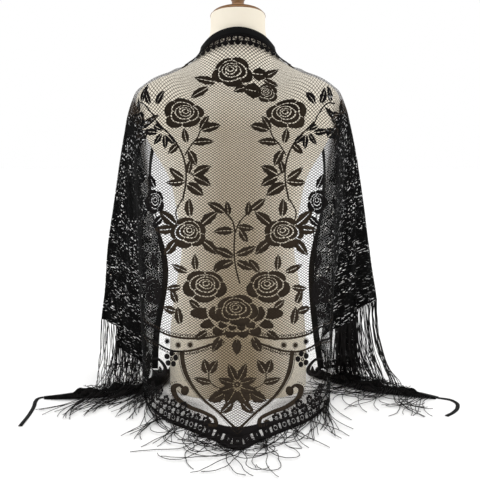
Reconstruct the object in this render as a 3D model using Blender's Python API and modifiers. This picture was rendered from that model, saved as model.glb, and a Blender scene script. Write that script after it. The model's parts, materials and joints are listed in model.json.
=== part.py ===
"""A fringed lace shawl that hangs over the shoulders of a limbless dress form.

The form faces +Y and its flat base stands on the floor, z = 0. The shawl is a lace triangle whose
long edge is bound with ribbon. The middle of that edge lies on the nape, its tip reaches the floor
behind the form, and its narrow ends lie on the floor to the left (-X) and right (+X).

Tables hold millimetres and degrees. Meshes are in metres.
"""

import math

import bmesh
import bpy
import numpy as np
from mathutils import Matrix

MM = 0.001
COLLECTION = "lace_shawl_on_dress_form"

# Walls and the gaps between pieces
LACE_WALL = 1.2
RIBBON_WALL = 1.0
FRINGE_WALL = 2.4
SEAM_GAP = 0.36
FORM_GAP = 2.1  # from the form to the middle of the lace wall, where they lie on each other
SHOULDER_GAP = 0.9  # added over the shoulders, where the cloth bridges their curve
PANEL_GAP = 0.6  # between the edges of neighbouring stretches of the lace

# Sewn pieces
RIBBON_WIDTH = 13.0
TRIM_WALL = 1.0
TRIM_GAP = 0.7
FRINGE_LENGTH = 130.0
FRINGE_GAP = 0.9  # below the hem
FRINGE_FOOT = 17.0  # height where the side fringe ends, above the narrow ends on the floor
TIE_WIDTH = 8.0
BACK_FRINGE_REACH = (92, 84, 68, 46)  # on the floor, from the tip to the side

# The dress form, as level sections: height, half width, half depth, middle of the depth
FORM_SECTIONS = (
    # z, half_width, half_depth, middle_y
    (0, 143, 98, 0),
    (60, 143, 101, 0),
    (140, 138.5, 100, 0),
    (220, 126.5, 90, 2),
    (294, 115, 82, 6),
    (370, 125, 92, 10),
    (440, 141, 105, 12),
    (500, 174, 106, 7),
    (545, 194, 97, 0),
    (580, 201, 84, -6),
    (603, 196, 73, -10),
    (618, 182, 66, -12),
    (632, 157, 61, -14),
    (646, 119, 57, -15),
    (666, 85, 54, -14),
    (690, 66, 53, -10),
    (715, 55, 52, -4),
    (745, 52.5, 51.5, 2),
)
FORM_POWER = 2.3  # of each section's superellipse
NECK_TOP = 748.0  # height of the middle of the sloping neck top
NECK_SLOPE = 17.0  # degrees, lower in front
FORM_SEGMENTS = 36

# The neck cap and its finial, as turned profiles: radius, height above the neck top
CAP_PROFILE = (
    (0, 0), (51.5, 0), (53.5, 1.5), (54, 4), (52.5, 7), (46, 10.5), (34, 14), (16, 17), (0, 17.6),
)
FINIAL_PROFILE = (
    (0, 0), (14, 0), (14.5, 2), (13, 6), (12, 12), (12.5, 17), (15, 21), (17.5, 27), (18, 33),
    (15.5, 40), (9, 45), (0, 46.5),
)
CAP_TURNS = 32
FINIAL_BASE = 17.9  # above the neck top

# Strands of the back panel run from the ribbon down to the floor at a constant distance x from
# the middle. ribbon_, ridge_ and back_ lie on the form, waist_ and low_ hang free.
BACK_HEIGHTS = {"back": 540, "waist": 300, "low": 90, "hem": 0.6}
BACK_STRANDS = (
    # x, ribbon_x, ribbon_y, ribbon_z, ridge_x, ridge_y, ridge_z, back_y, waist_y, low_y, hem_y
    (0, 0, -64, 715, 0, -84, 640, -106, -150, -213, -326),
    (45, 46, -50, 703, 46, -80, 636, -105, -147, -206, -285),
    (90, 83, -22, 670, 87, -56, 634, -100, -138, -187, -243),
    (130, 106, 1, 655, 120, -24, 645, -90, -125, -160, -205),
    (160, 114, 14, 645, 138, -12, 641, -77, -108, -128, -158),
    (186, 120, 24, 637, 154, -8, 634, -58, -86, -96, -90),
)

# Strands of the sides run from the ribbon over the shoulder's ridge to its edge, and hang straight
# from there to the hem, in folds that open downwards. bow is how far the middle of the hanging
# stretch stands out from that line.
SIDE_TOP = (
    # name, ribbon_x, ribbon_y, ribbon_z, ridge_x, ridge_y, ridge_z, edge_x, edge_y, edge_z
    ("turn", 126, 32, 628, 168, -6, 628, 203, -36, 564),
    ("near_fold", 131, 39, 619, 177, -4, 623, 213, -22, 572),
    ("near_pleat", 136, 46, 609, 183, -1, 619, 213, -5, 572),
    ("outer_fold", 140, 52, 599, 186, 4, 616, 216, 10, 570),
    ("far_pleat", 144, 58, 588, 184, 14, 612, 210, 27, 562),
    ("front_fold", 147, 64, 577, 178, 32, 602, 204, 52, 545),
)
SIDE_HEM = {
    # name: hem_x, hem_y, hem_z, bow
    "left": {
        "turn": (190, -32, 50, 12),
        "near_fold": (250, -24, 90, 6),
        "near_pleat": (202, 2, 100, -8),
        "outer_fold": (284, 6, 138, 4),
        "far_pleat": (208, 34, 104, -8),
        "front_fold": (262, 62, 82, 6),
    },
    "right": {
        "turn": (174, -22, 100, 14),
        "near_fold": (246, -22, 150, 6),
        "near_pleat": (204, 2, 142, -8),
        "outer_fold": (291, 6, 181, 4),
        "far_pleat": (212, 32, 120, -8),
        "front_fold": (256, 62, 34, 6),
    },
}

# The ribbon-bound front edge, from the chest down to the floor
FRONT_EDGE = {
    "left": (
        # x, y, z
        (150, 70, 566),
        (161, 80, 548),
        (177, 91, 510),
        (194, 97, 450),
        (176, 103, 320),
        (165, 101, 205),
        (178, 93, 130),
        (187, 84, 65),
        (190, 76, 2),
    ),
    "right": (
        (150, 70, 566),
        (161, 80, 548),
        (176, 91, 510),
        (190, 97, 450),
        (172, 102, 320),
        (166, 98, 205),
        (170, 91, 130),
        (180, 82, 65),
        (190, 76, 2),
    ),
}

# The narrow ends on the floor: the ribbon's route, and how wide the lace lies beside it
END_ROUTE = {
    "left": (
        # x, y, lace_width
        (183.5, 76.2, 26),
        (181, 38, 30),
        (188, 6, 36),
        (212, -18, 42),
        (250, -34, 42),
        (300, -50, 40),
        (344, -67, 26),
        (374, -77, 13),
        (392, -82, 4),
    ),
    "right": (
        (183.5, 75, 26),
        (190, 54, 32),
        (214, 35, 38),
        (250, 14, 44),
        (300, -18, 44),
        (344, -44, 34),
        (378, -67, 18),
        (402, -84, 4),
    ),
}
END_RUMPLE = 5.0  # height of the soft ridges in the narrow ends
TIE_ROUTE = {
    "left": ((401, -88), (403, -102), (400, -128), (399, -168), (402, -224)),
    "right": ((412, -89), (426, -97), (433, -112), (428, -138), (414, -160), (397, -177)),
}

# Strand numbers: 0 is the middle of the back, -12 the left front edge and 12 the right one
LAST = len(BACK_STRANDS) + len(SIDE_TOP)
LEVELS = (0.0, 0.13, 0.31, 0.62, 0.87, 1.0)  # ribbon, ridge, back, waist, low, hem
ROW_LEVELS = np.concatenate([np.linspace(0, 0.31, 11), np.linspace(0.31, 1, 9)[1:]])
LACE_PIECES = {
    # node: first strand, last strand, columns
    "lace_back": (-5, 5, 21),
    "lace_left_side": (-8.5, -5, 15),
    "lace_left_front": (-12, -8.5, 15),
    "lace_right_side": (5, 8.5, 15),
    "lace_right_front": (8.5, 12, 15),
}
FRINGE_PIECES = {
    # node: first strand, last strand, columns
    "fringe_left_side": (-8.5, -5.5, 13),
    "fringe_left_front": (-11.25, -8.5, 12),
    "fringe_right_side": (5.5, 8.5, 13),
    "fringe_right_front": (8.5, 11.25, 12),
}

COLOURS = {
    # material: colour, roughness
    "lace": ((0.012, 0.010, 0.010), 0.85),
    "ribbon": ((0.010, 0.010, 0.012), 0.45),
    "fringe": ((0.012, 0.012, 0.013), 0.6),
    "cover": ((0.83, 0.72, 0.55), 0.8),
    "wood": ((0.42, 0.20, 0.07), 0.4),
}


def smooth(places, rows, at):
    """Reads a smooth curve through rows, whose places increase, at other places."""
    places = np.asarray(places, float)
    rows = np.asarray(rows, float)
    at = np.clip(np.asarray(at, float), places[0], places[-1])
    steps = np.diff(places).reshape((-1,) + (1,) * (rows.ndim - 1))
    slopes = np.diff(rows, axis=0) / steps
    tangents = np.empty_like(rows)
    tangents[0], tangents[-1] = slopes[0], slopes[-1]
    tangents[1:-1] = (slopes[1:] * steps[:-1] + slopes[:-1] * steps[1:]) / (steps[1:] + steps[:-1])
    i = np.clip(np.searchsorted(places, at, side="right") - 1, 0, len(places) - 2)
    h = steps[i]
    t = ((at - places[i]) / np.diff(places)[i]).reshape((-1,) + (1,) * (rows.ndim - 1))
    return (
        (2 * t**3 - 3 * t**2 + 1) * rows[i]
        + (t**3 - 2 * t**2 + t) * h * tangents[i]
        + (3 * t**2 - 2 * t**3) * rows[i + 1]
        + (t**3 - t**2) * h * tangents[i + 1]
    )


def unit(vectors):
    return vectors / np.maximum(np.linalg.norm(vectors, axis=-1, keepdims=True), 1e-9)


# ---------------------------------------------------------------- dress form


def form_section(z):
    """The form's half width, half depth and middle y at height z."""
    table = np.array(FORM_SECTIONS, float)
    rows = smooth(table[:, 0], table[:, 1:], np.ravel(z))
    return rows.reshape(np.shape(z) + (3,))


def form_level(points):
    """About how far points lie outside the form's section at their height, below 0 inside."""
    section = form_section(points[..., 2])
    across = np.abs(points[..., 0] / section[..., 0]) ** FORM_POWER
    along = np.abs((points[..., 1] - section[..., 2]) / section[..., 1]) ** FORM_POWER
    return ((across + along) ** (1 / FORM_POWER) - 1) * section[..., 1]


def clear_of_form(points):
    """Moves points that lie in the form, or too near to it, out along its surface's normal."""
    points = points.copy()
    gap = FORM_GAP + SHOULDER_GAP * np.interp(points[..., 2], (565, 595, 650, 700), (0, 1, 1, 0))
    for _ in range(8):
        level = form_level(points)
        slope = np.stack(
            [form_level(points + step) - level for step in np.eye(3) * 0.5], axis=-1
        ) / 0.5
        steepness = np.maximum(np.linalg.norm(slope, axis=-1), 0.2)
        short = np.maximum(gap - level / steepness, 0)
        points += slope / steepness[..., None] * short[..., None]
    return points


def build_form_body():
    """The padded body and neck: level sections up to the neck, and a sloping neck top."""
    heights = np.concatenate(
        [np.linspace(0, 440, 9), np.linspace(470, 590, 7), np.linspace(600, 708, 19), [718, 728]]
    )
    turns = np.linspace(0, 2 * math.pi, FORM_SEGMENTS, endpoint=False)
    cos, sin = np.cos(turns), np.sin(turns)
    circle_x = np.sign(cos) * np.abs(cos) ** (2 / FORM_POWER)
    circle_y = np.sign(sin) * np.abs(sin) ** (2 / FORM_POWER)
    rings = []
    for z in heights:
        half_width, half_depth, middle = form_section(z)
        rings.append(
            np.stack([circle_x * half_width, circle_y * half_depth + middle, 0 * turns + z], 1)
        )
    top = rings[-1].copy()
    top[:, 2] = NECK_TOP - top[:, 1] * math.tan(math.radians(NECK_SLOPE))
    rings.append(top)
    mesh = bmesh.new()
    loops = [[mesh.verts.new(point * MM) for point in ring] for ring in rings]
    for low, high in zip(loops, loops[1:]):
        for i in range(FORM_SEGMENTS):
            j = (i + 1) % FORM_SEGMENTS
            mesh.faces.new((low[i], low[j], high[j], high[i]))
    mesh.faces.new(loops[0][::-1])
    mesh.faces.new(loops[-1])
    return finish("form_body", mesh, "cover")


def build_turned(name, profile, base):
    """A turned piece on the sloping neck top, standing base above it."""
    mesh = bmesh.new()
    points = [mesh.verts.new((radius * MM, 0, height * MM)) for radius, height in reversed(profile)]
    for start, end in zip(points, points[1:]):
        mesh.edges.new((start, end))
    part = finish(name, mesh, "wood", check=False)
    screw = part.modifiers.new("turn", "SCREW")
    screw.angle = 2 * math.pi
    screw.steps = screw.render_steps = CAP_TURNS
    screw.use_merge_vertices = True
    screw.merge_threshold = 0.0001
    slope = Matrix.Rotation(-math.radians(NECK_SLOPE), 4, "X")
    middle = form_section(np.array(NECK_TOP))[2]
    height = NECK_TOP - middle * math.tan(math.radians(NECK_SLOPE)) + SEAM_GAP
    place = Matrix.Translation((0, middle * MM, height * MM))
    part.matrix_world = place @ slope @ Matrix.Translation((0, 0, base * MM))
    return part


# ---------------------------------------------------------------- the lace surface


def strand_table(side):
    """Points on the strands of one side at each level: an array of levels, strands, x y z."""
    columns = []
    for x, rx, ry, rz, gx, gy, gz, back_y, waist_y, low_y, hem_y in BACK_STRANDS:
        columns.append(
            [
                (rx, ry, rz),
                (gx, gy, gz),
                (x, back_y, BACK_HEIGHTS["back"]),
                (x, waist_y, BACK_HEIGHTS["waist"]),
                (x, low_y, BACK_HEIGHTS["low"]),
                (x, hem_y, BACK_HEIGHTS["hem"]),
            ]
        )
    for name, rx, ry, rz, gx, gy, gz, ex, ey, ez in SIDE_TOP:
        hem_x, hem_y, hem_z, bow = SIDE_HEM[side][name]
        edge, hem = np.array((ex, ey, ez)), np.array((hem_x, hem_y, hem_z))
        out = unit(np.array((hem_x, hem_y, 0.0))) * bow
        columns.append(
            [
                (rx, ry, rz),
                (gx, gy, gz),
                edge,
                edge + (hem - edge) * 0.5 + out,
                edge + (hem - edge) * 0.82 + out * 0.5,
                hem,
            ]
        )
    front = np.array(FRONT_EDGE[side], float)
    length = np.concatenate([[0], np.cumsum(np.linalg.norm(np.diff(front, axis=0), axis=1))])
    columns.append(smooth(length, front, np.array(LEVELS) * length[-1]))
    table = np.array([np.array(column, float) for column in columns]).swapaxes(0, 1)
    if side == "left":
        table[..., 0] *= -1
    return table


STRANDS = np.concatenate([strand_table("left")[:, :0:-1], strand_table("right")], axis=1)


def lace(strand, level):
    """Points of the middle of the lace at strand numbers and levels, given as equal arrays."""
    strand, level = np.broadcast_arrays(np.asarray(strand, float), np.asarray(level, float))
    flat_strand, flat_level = strand.ravel(), level.ravel()
    levels, where = np.unique(np.round(flat_level, 6), return_inverse=True)
    rows = smooth(LEVELS, STRANDS, levels)
    points = np.empty((flat_strand.size, 3))
    numbers = np.arange(-LAST, LAST + 1)
    for i in range(len(levels)):
        chosen = where == i
        points[chosen] = smooth(numbers, rows[i], flat_strand[chosen])
    points = clear_of_form(points)
    points[:, 2] = np.maximum(points[:, 2], LACE_WALL / 2)
    return points.reshape(strand.shape + (3,))


def lace_frame(strand, level):
    """Points, and the unit directions across, down and out of the lace there."""
    strand, level = np.broadcast_arrays(np.asarray(strand, float), np.asarray(level, float))
    d_strand, d_level = 0.05, 0.006
    across = lace(np.minimum(strand + d_strand, LAST), level) - lace(
        np.maximum(strand - d_strand, -LAST), level
    )
    down = lace(strand, np.minimum(level + d_level, 1)) - lace(
        strand, np.maximum(level - d_level, 0)
    )
    out = unit(np.cross(down, across))
    return lace(strand, level), unit(across), unit(down), out


# ---------------------------------------------------------------- meshes


def material(name):
    made = bpy.data.materials.get(name)
    if made is None:
        colour, roughness = COLOURS[name]
        made = bpy.data.materials.new(name)
        made.use_nodes = True
        shader = made.node_tree.nodes["Principled BSDF"]
        shader.inputs["Base Color"].default_value = (*colour, 1)
        shader.inputs["Roughness"].default_value = roughness
        shader.inputs["Metallic"].default_value = 0
    return made


def finish(name, mesh, material_name, check=True):
    """Turns a bmesh into a named object of the shawl's collection."""
    if check:
        bmesh.ops.recalc_face_normals(mesh, faces=mesh.faces)
    data = bpy.data.meshes.new(name)
    mesh.to_mesh(data)
    mesh.free()
    data.materials.append(material(material_name))
    part = bpy.data.objects.new(name, data)
    bpy.data.collections[COLLECTION].objects.link(part)
    return part


def build_wall(name, outer, inner, material_name):
    """A closed wall between two grids of points. Each cell is split along its outermost diagonal."""
    rows, columns = outer.shape[:2]
    middle = (outer[:-1, 1:] + outer[1:, :-1] - outer[:-1, :-1] - outer[1:, 1:]) / 2
    rising = np.sum(middle * (outer - inner)[:-1, :-1], axis=-1) > 0
    mesh = bmesh.new()
    skins = [
        [[mesh.verts.new(point * MM) for point in row] for row in grid] for grid in (outer, inner)
    ]
    front, back = skins
    for i in range(rows - 1):
        for j in range(columns - 1):
            for skin, turn in ((front, 1), (back, -1)):
                cell = (skin[i][j], skin[i][j + 1], skin[i + 1][j + 1], skin[i + 1][j])
                first = 1 if rising[i, j] else 0
                a, b, c, d = cell[first:] + cell[:first]
                for corners in ((a, b, c), (a, c, d)):
                    mesh.faces.new(corners[::turn])
    rim = [(0, j) for j in range(columns)] + [(i, columns - 1) for i in range(1, rows)]
    rim += [(rows - 1, j) for j in range(columns - 2, -1, -1)] + [(i, 0) for i in range(rows - 2, 0, -1)]
    for (a, b), (c, d) in zip(rim, rim[1:] + rim[:1]):
        mesh.faces.new((front[a][b], front[c][d], back[c][d], back[a][b]))
    return finish(name, mesh, material_name)


def wall_of(name, points, out, thickness, material_name, lift=0.0):
    """A wall whose middle is moved out of the given points by lift."""
    outer = points + out * (lift + thickness / 2)
    inner = points + out * (lift - thickness / 2)
    outer[..., 2], inner[..., 2] = np.maximum(outer[..., 2], 0), np.maximum(inner[..., 2], 0)
    build_wall(name, outer, inner, material_name)


# ---------------------------------------------------------------- sewn pieces


def build_lace(name, first, last, columns):
    strand, level = np.meshgrid(np.linspace(first, last, columns), ROW_LEVELS)
    points, across, down, out = lace_frame(strand, level)
    points[:, 0] += across[:, 0] * PANEL_GAP / 2
    points[:, -1] -= across[:, -1] * PANEL_GAP / 2
    out = floor_flat(points, out)
    wall_of(name, points, out, LACE_WALL, "lace")


def floor_flat(points, out):
    """Turns the wall's direction straight up where the cloth lies on the floor."""
    low = np.clip((points[..., 2] - LACE_WALL / 2) / 6, 0, 1)[..., None]
    upright = np.zeros_like(out)
    upright[..., 2] = np.where(out[..., 2] < 0, -1, 1)
    return unit(out * low + upright * (1 - low))


def bound_edge(side):
    """The ribbon's seam on one side, from the middle of the nape to the floor, as strand and level."""
    sign = -1 if side == "left" else 1
    neck = [(sign * k, 0.0) for k in np.concatenate([np.arange(0, 5, 0.5), np.arange(5, 12.1, 0.25)])]
    front = [(sign * LAST, v) for v in ROW_LEVELS[1:]]
    return np.array(neck + front)


def ribbon_strip(seam, out, width):
    """A grid from the seam's points to the ribbon's free edge."""
    along = unit(np.gradient(seam, axis=0))
    away = unit(np.cross(out, along))
    steps = np.linspace(0, 1, 2)[:, None, None]
    return seam + away * (SEAM_GAP + steps * width)


def build_bound_ribbons():
    """The binding round the nape, and down the two front edges."""
    numbers = {side: bound_edge(side) for side in ("left", "right")}
    for side in ("left", "right"):
        strand, level = numbers[side].T
        points, across, down, out = lace_frame(strand, level)
        out = out if side == "right" else -out
        strip = ribbon_strip(points, out, RIBBON_WIDTH)
        strip = clear_of_form(strip)
        strip[..., 2] = np.maximum(strip[..., 2], 2.0)
        numbers[side] = (strip, out if side == "right" else -out)
    left, right = numbers["left"], numbers["right"]
    split = 10  # the column where the neck stretch ends and the front stretches start
    neck = np.concatenate([left[0][:, split:0:-1], right[0][:, : split + 1]], axis=1)
    neck_out = np.concatenate([left[1][split:0:-1], right[1][: split + 1]])
    wall_of("ribbon_neck", neck, neck_out, RIBBON_WALL, "ribbon")
    for side, (strip, out) in (("left", left), ("right", right)):
        front, front_out = strip[:, split:].copy(), out[split:]
        front[:, 0] += unit(front[:, 1] - front[:, 0]) * SEAM_GAP
        wall_of(f"ribbon_{side}_front", front, front_out, RIBBON_WALL, "ribbon")


def build_neck_trim():
    """The lace trim under the neck binding, lying on the panel."""
    strand, level = np.meshgrid(np.arange(-3, 3.1, 0.5), (0.002, ROW_LEVELS[1]))
    points, across, down, out = lace_frame(strand, level)
    wall_of("neck_trim", points, out, TRIM_WALL, "lace", LACE_WALL / 2 + TRIM_GAP + TRIM_WALL / 2)


def build_side_fringe(name, first, last, columns):
    """The plain solid of the fringe that hangs from a side's hem."""
    strand = np.linspace(first, last, columns)
    points, across, down, out = lace_frame(strand, 1 + 0 * strand)
    points[0] += across[0] * SEAM_GAP / 2
    points[-1] -= across[-1] * SEAM_GAP / 2
    start = points + down * FRINGE_GAP
    fall = unit(down * 0.35 + np.array((0, 0, -1)))
    reach = np.minimum(FRINGE_LENGTH, (start[:, 2] - FRINGE_FOOT) / -fall[:, 2])
    steps = np.linspace(0, 1, 4)[:, None, None]
    grid = start + fall * reach[:, None] * steps
    outs = np.broadcast_to(unit(out * np.array((1, 1, 0))), grid.shape).copy()
    outs[0] = out
    thickness = np.array((LACE_WALL, FRINGE_WALL, FRINGE_WALL, FRINGE_WALL))[:, None, None]
    wall_of(name, grid, outs, thickness, "fringe")


def floor_plate(name, near, far, thickness, material_name, rows=3):
    """A plate that lies on the floor between two lines of x, y points."""
    steps = np.linspace(0, 1, rows)[:, None, None]
    flat = near + (far - near) * steps
    grid = np.concatenate([flat, np.zeros(flat.shape[:2] + (1,))], axis=2)
    build_wall(name, grid + (0, 0, thickness), grid, material_name)


def build_back_fringe():
    """The fringe of the back's two hems, splayed on the floor."""
    for side, sign in (("left", -1), ("right", 1)):
        strand = sign * np.linspace(0, 5, 11)
        hem = lace(strand, 1 + 0 * strand)[:, :2]
        along = np.gradient(hem, axis=0)
        away = unit(np.stack([along[:, 1], -along[:, 0]], axis=1)) * sign
        away[0] = (0, -1)
        away = unit(away)
        reach = np.interp(np.abs(strand), (0, 1, 3, 5), BACK_FRINGE_REACH)[:, None]
        near = hem + away * (SEAM_GAP + 0.2)
        near[:, 0] = sign * np.maximum(sign * near[:, 0], 0.2)
        far = hem + away * reach
        far[:, 0] = sign * np.maximum(sign * far[:, 0], 0.2)
        floor_plate(f"fringe_back_{side}", near, far, FRINGE_WALL, "fringe")


def end_frame(side, count):
    """The ribbon's route on the floor, the side that the lace lies on, and the lace's width."""
    table = np.array(END_ROUTE[side], float)
    run = np.concatenate([[0], np.cumsum(np.linalg.norm(np.diff(table[:, :2], axis=0), axis=1))])
    rows = smooth(run, table, np.linspace(0, run[-1], count))
    route, width = rows[:, :2], rows[:, 2]
    along = unit(np.gradient(route, axis=0))
    toward = np.stack([along[:, 1], -along[:, 0]], axis=1)
    if side == "left":
        route, toward = route * (-1, 1), toward * (-1, 1)
    return route, toward, width, np.linspace(0, run[-1], count)


def build_end(side):
    """A narrow end on the floor: its ribbon, its lace, its fringe and its tie."""
    route, toward, width, run = end_frame(side, 19)
    steps = np.linspace(0, 1, 6)[:, None]
    start = RIBBON_WIDTH / 2 + SEAM_GAP
    spread = start + steps * width
    plan = route + toward * spread[..., None]
    rumple = END_RUMPLE * np.sin(steps * 2.5 * math.pi) ** 2 * np.clip(width / 40, 0, 1)
    middle = np.concatenate([plan, (LACE_WALL / 2 + rumple)[..., None]], axis=2)
    up = np.zeros_like(middle)
    up[..., 2] = 1
    wall_of(f"lace_{side}_end", middle, up, LACE_WALL, "lace")
    ribbon = [route + toward * offset for offset in (-RIBBON_WIDTH / 2, RIBBON_WIDTH / 2)]
    floor_plate(f"ribbon_{side}_end", ribbon[0], ribbon[1], RIBBON_WALL, "ribbon", 2)
    near = plan[-1] + toward * SEAM_GAP
    first = 10 if side == "left" else 7
    reach = np.interp(run, (0, run[first], run[-4], run[-1]), (0, 46, 40, 18))[:, None]
    floor_plate(
        f"fringe_{side}_end", near[first:], (near + toward * reach)[first:], FRINGE_WALL, "fringe"
    )
    tie = np.array(TIE_ROUTE[side], float)
    if side == "left":
        tie = tie * (-1, 1)
    ahead = unit(route[-1] - route[-2])
    tie = np.concatenate([[route[-1] + ahead * 0.6, route[-1] + ahead * 3], tie])
    run = np.concatenate([[0], np.cumsum(np.linalg.norm(np.diff(tie, axis=0), axis=1))])
    line = smooth(run, tie, np.linspace(0, run[-1], 18))
    along = unit(np.gradient(line, axis=0))
    along[0] = ahead
    across = along[:, ::-1] * (1, -1) * TIE_WIDTH / 2
    floor_plate(f"tie_{side}", line - across, line + across, RIBBON_WALL, "ribbon", 2)


def main():
    for thing in list(bpy.data.objects):
        bpy.data.objects.remove(thing, do_unlink=True)
    bpy.context.scene.collection.children.link(bpy.data.collections.new(COLLECTION))
    build_form_body()
    build_turned("form_cap", CAP_PROFILE, 0)
    build_turned("form_finial", FINIAL_PROFILE, FINIAL_BASE)
    for name, sizes in LACE_PIECES.items():
        build_lace(name, *sizes)
    build_neck_trim()
    build_bound_ribbons()
    build_back_fringe()
    for name, sizes in FRINGE_PIECES.items():
        build_side_fringe(name, *sizes)
    for side in ("left", "right"):
        build_end(side)


main()
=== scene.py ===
"""A fringed black lace shawl on a limbless dress form: the net, its knitted flowers, the ribbon
binding, the ties, the fringe, the covered form, its turned cap, and a plain stage.

The shawl is one lace triangle. Places on it are given in millimetres as (across, down): across from
the middle of the back, and down from the nape to the hem. Tables hold millimetres and degrees.
"""

import json
import math
import bmesh
import bpy
import numpy as np
from mathutils import Matrix, Vector

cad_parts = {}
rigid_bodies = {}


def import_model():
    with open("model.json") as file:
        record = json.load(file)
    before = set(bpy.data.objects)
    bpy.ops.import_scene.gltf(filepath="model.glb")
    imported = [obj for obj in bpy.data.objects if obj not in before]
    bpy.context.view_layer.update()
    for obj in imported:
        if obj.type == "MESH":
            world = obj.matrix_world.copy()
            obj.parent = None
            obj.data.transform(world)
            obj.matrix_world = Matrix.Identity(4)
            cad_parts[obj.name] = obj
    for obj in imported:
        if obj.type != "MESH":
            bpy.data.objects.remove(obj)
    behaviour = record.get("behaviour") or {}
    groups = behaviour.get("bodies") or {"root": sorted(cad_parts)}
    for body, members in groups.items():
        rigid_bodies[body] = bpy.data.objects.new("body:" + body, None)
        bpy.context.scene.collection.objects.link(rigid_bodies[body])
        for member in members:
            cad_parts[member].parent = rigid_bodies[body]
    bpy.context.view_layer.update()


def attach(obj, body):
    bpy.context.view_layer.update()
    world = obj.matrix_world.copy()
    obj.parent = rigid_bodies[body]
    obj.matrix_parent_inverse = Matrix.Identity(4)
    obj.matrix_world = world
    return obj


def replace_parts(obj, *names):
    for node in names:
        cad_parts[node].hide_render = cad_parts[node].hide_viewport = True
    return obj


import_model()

bl_info = {
    "name": "Lace Shawl on Dress Form",
    "version": (1, 0, 0),
    "blender": (4, 5, 0),
    "location": "3D View > Sidebar > Shawl",
    "description": "Builds a fringed lace shawl draped over a dress form",
    "category": "Object",
}

MM = 0.001
BODY = "root"
SIDES = {"left": -1, "right": 1}  # the sign of x on each side

# ---------------------------------------------------------------- the form and the drape, as built

FORM_GAP = 2.1  # from the form to the middle of the cloth
SHOULDER_GAP = 0.9  # and how much more over the shoulders
NEAR_FORM = 12.0  # cloth further out than this hangs clear of the form
PROBE = 0.5  # the step over which the form's slope is read
FORM_SECTIONS = (
    # z, half_width, half_depth, middle_y
    (0, 143, 98, 0),
    (60, 143, 101, 0),
    (140, 138.5, 100, 0),
    (220, 126.5, 90, 2),
    (294, 115, 82, 6),
    (370, 125, 92, 10),
    (440, 141, 105, 12),
    (500, 174, 106, 7),
    (545, 194, 97, 0),
    (580, 201, 84, -6),
    (603, 196, 73, -10),
    (618, 182, 66, -12),
    (632, 157, 61, -14),
    (646, 119, 57, -15),
    (666, 85, 54, -14),
    (690, 66, 53, -10),
    (715, 55, 52, -4),
    (745, 52.5, 51.5, 2),
)
FORM_POWER = 2.3
NECK_TOP = 748.0
NECK_SLOPE = 17.0
CAP_PROFILE = (
    # radius, height above the neck top
    (0, 0), (51.5, 0), (53, 0.6), (53.8, 1.6), (54, 3), (53.6, 4.2), (52.6, 4.9), (50.2, 5.0),
    (49.4, 5.6), (49.3, 6.6), (50.4, 7.0), (50.2, 7.8), (48.6, 9.2), (46, 10.6), (40, 12.4), (34, 14),
    (25, 15.8), (16, 17), (8, 17.5), (0, 17.6),
)
FINIAL_PROFILE = (
    (0, 0), (14, 0), (14.5, 1), (14.4, 2.4), (13, 6), (12.2, 9), (12, 12), (12.1, 15), (12.6, 17),
    (14, 19.4), (15.2, 21), (16.8, 24), (17.6, 27), (18, 30), (18, 33), (17.3, 36.5), (15.5, 40),
    (12.6, 43), (9, 45), (5, 46.2), (0, 46.5),
)
FINIAL_BASE = 17.9  # above the neck top
SEAM_GAP = 0.36  # between the neck top and the cap

RIBBON_WIDTH = 13.0
RIBBON_ROWS = 5  # lines of points across a ribbon
NECK_END = 61  # the point, from the nape, where the neck stretch of the binding ends
END_STEPS = 90  # points along the ribbon of a narrow end
TIE_WIDTH = 7.6
LACE_HEIGHT = 0.7  # the middle of lace that lies on the floor
RIBBON_GAP = 0.15  # under a ribbon there
END_RUMPLE = 16.0  # the height of a narrow end's ridges
END_DEPTH = 44.0  # the widest part of a narrow end
TRAIL = 34.0  # how far a thread trails along a narrow end
THREAD_FRONT = 131.0  # no lying thread comes further to the front
THREAD_BACK = -416.0  # a thread that goes further back is slowed down
THREAD_SPARE = 24.0  # and ends within this of where it was slowed

BACK_HEIGHTS = (540, 300, 90, 0.6)  # of back_y, waist_y, low_y and hem_y
BACK_STRANDS = (
    # x, ribbon_x, ribbon_y, ribbon_z, ridge_x, ridge_y, ridge_z, back_y, waist_y, low_y, hem_y
    (0, 0, -64, 715, 0, -84, 640, -106, -150, -213, -326),
    (45, 46, -50, 703, 46, -80, 636, -105, -147, -206, -285),
    (90, 83, -22, 670, 87, -56, 634, -100, -138, -187, -243),
    (130, 106, 1, 655, 120, -24, 645, -90, -125, -160, -205),
    (160, 114, 14, 645, 138, -12, 641, -77, -108, -128, -158),
    (186, 120, 24, 637, 154, -8, 634, -58, -86, -96, -90),
)
SIDE_TOP = (
    # name, ribbon_x, ribbon_y, ribbon_z, ridge_x, ridge_y, ridge_z, edge_x, edge_y, edge_z
    ("turn", 126, 32, 628, 168, -6, 628, 203, -36, 564),
    ("near_fold", 131, 39, 619, 177, -4, 623, 213, -22, 572),
    ("near_pleat", 136, 46, 609, 183, -1, 619, 213, -5, 572),
    ("outer_fold", 140, 52, 599, 186, 4, 616, 216, 10, 570),
    ("far_pleat", 144, 58, 588, 184, 14, 612, 210, 27, 562),
    ("front_fold", 147, 64, 577, 178, 32, 602, 204, 52, 545),
)
SIDE_HEM = {
    # name: hem_x, hem_y, hem_z, bow
    "left": {
        "turn": (190, -32, 50, 12),
        "near_fold": (250, -24, 90, 6),
        "near_pleat": (202, 2, 100, -8),
        "outer_fold": (284, 6, 138, 4),
        "far_pleat": (208, 34, 104, -8),
        "front_fold": (262, 62, 82, 6),
    },
    "right": {
        "turn": (174, -22, 100, 14),
        "near_fold": (246, -22, 150, 6),
        "near_pleat": (204, 2, 142, -8),
        "outer_fold": (291, 6, 181, 4),
        "far_pleat": (212, 32, 120, -8),
        "front_fold": (256, 62, 34, 6),
    },
}
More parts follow.
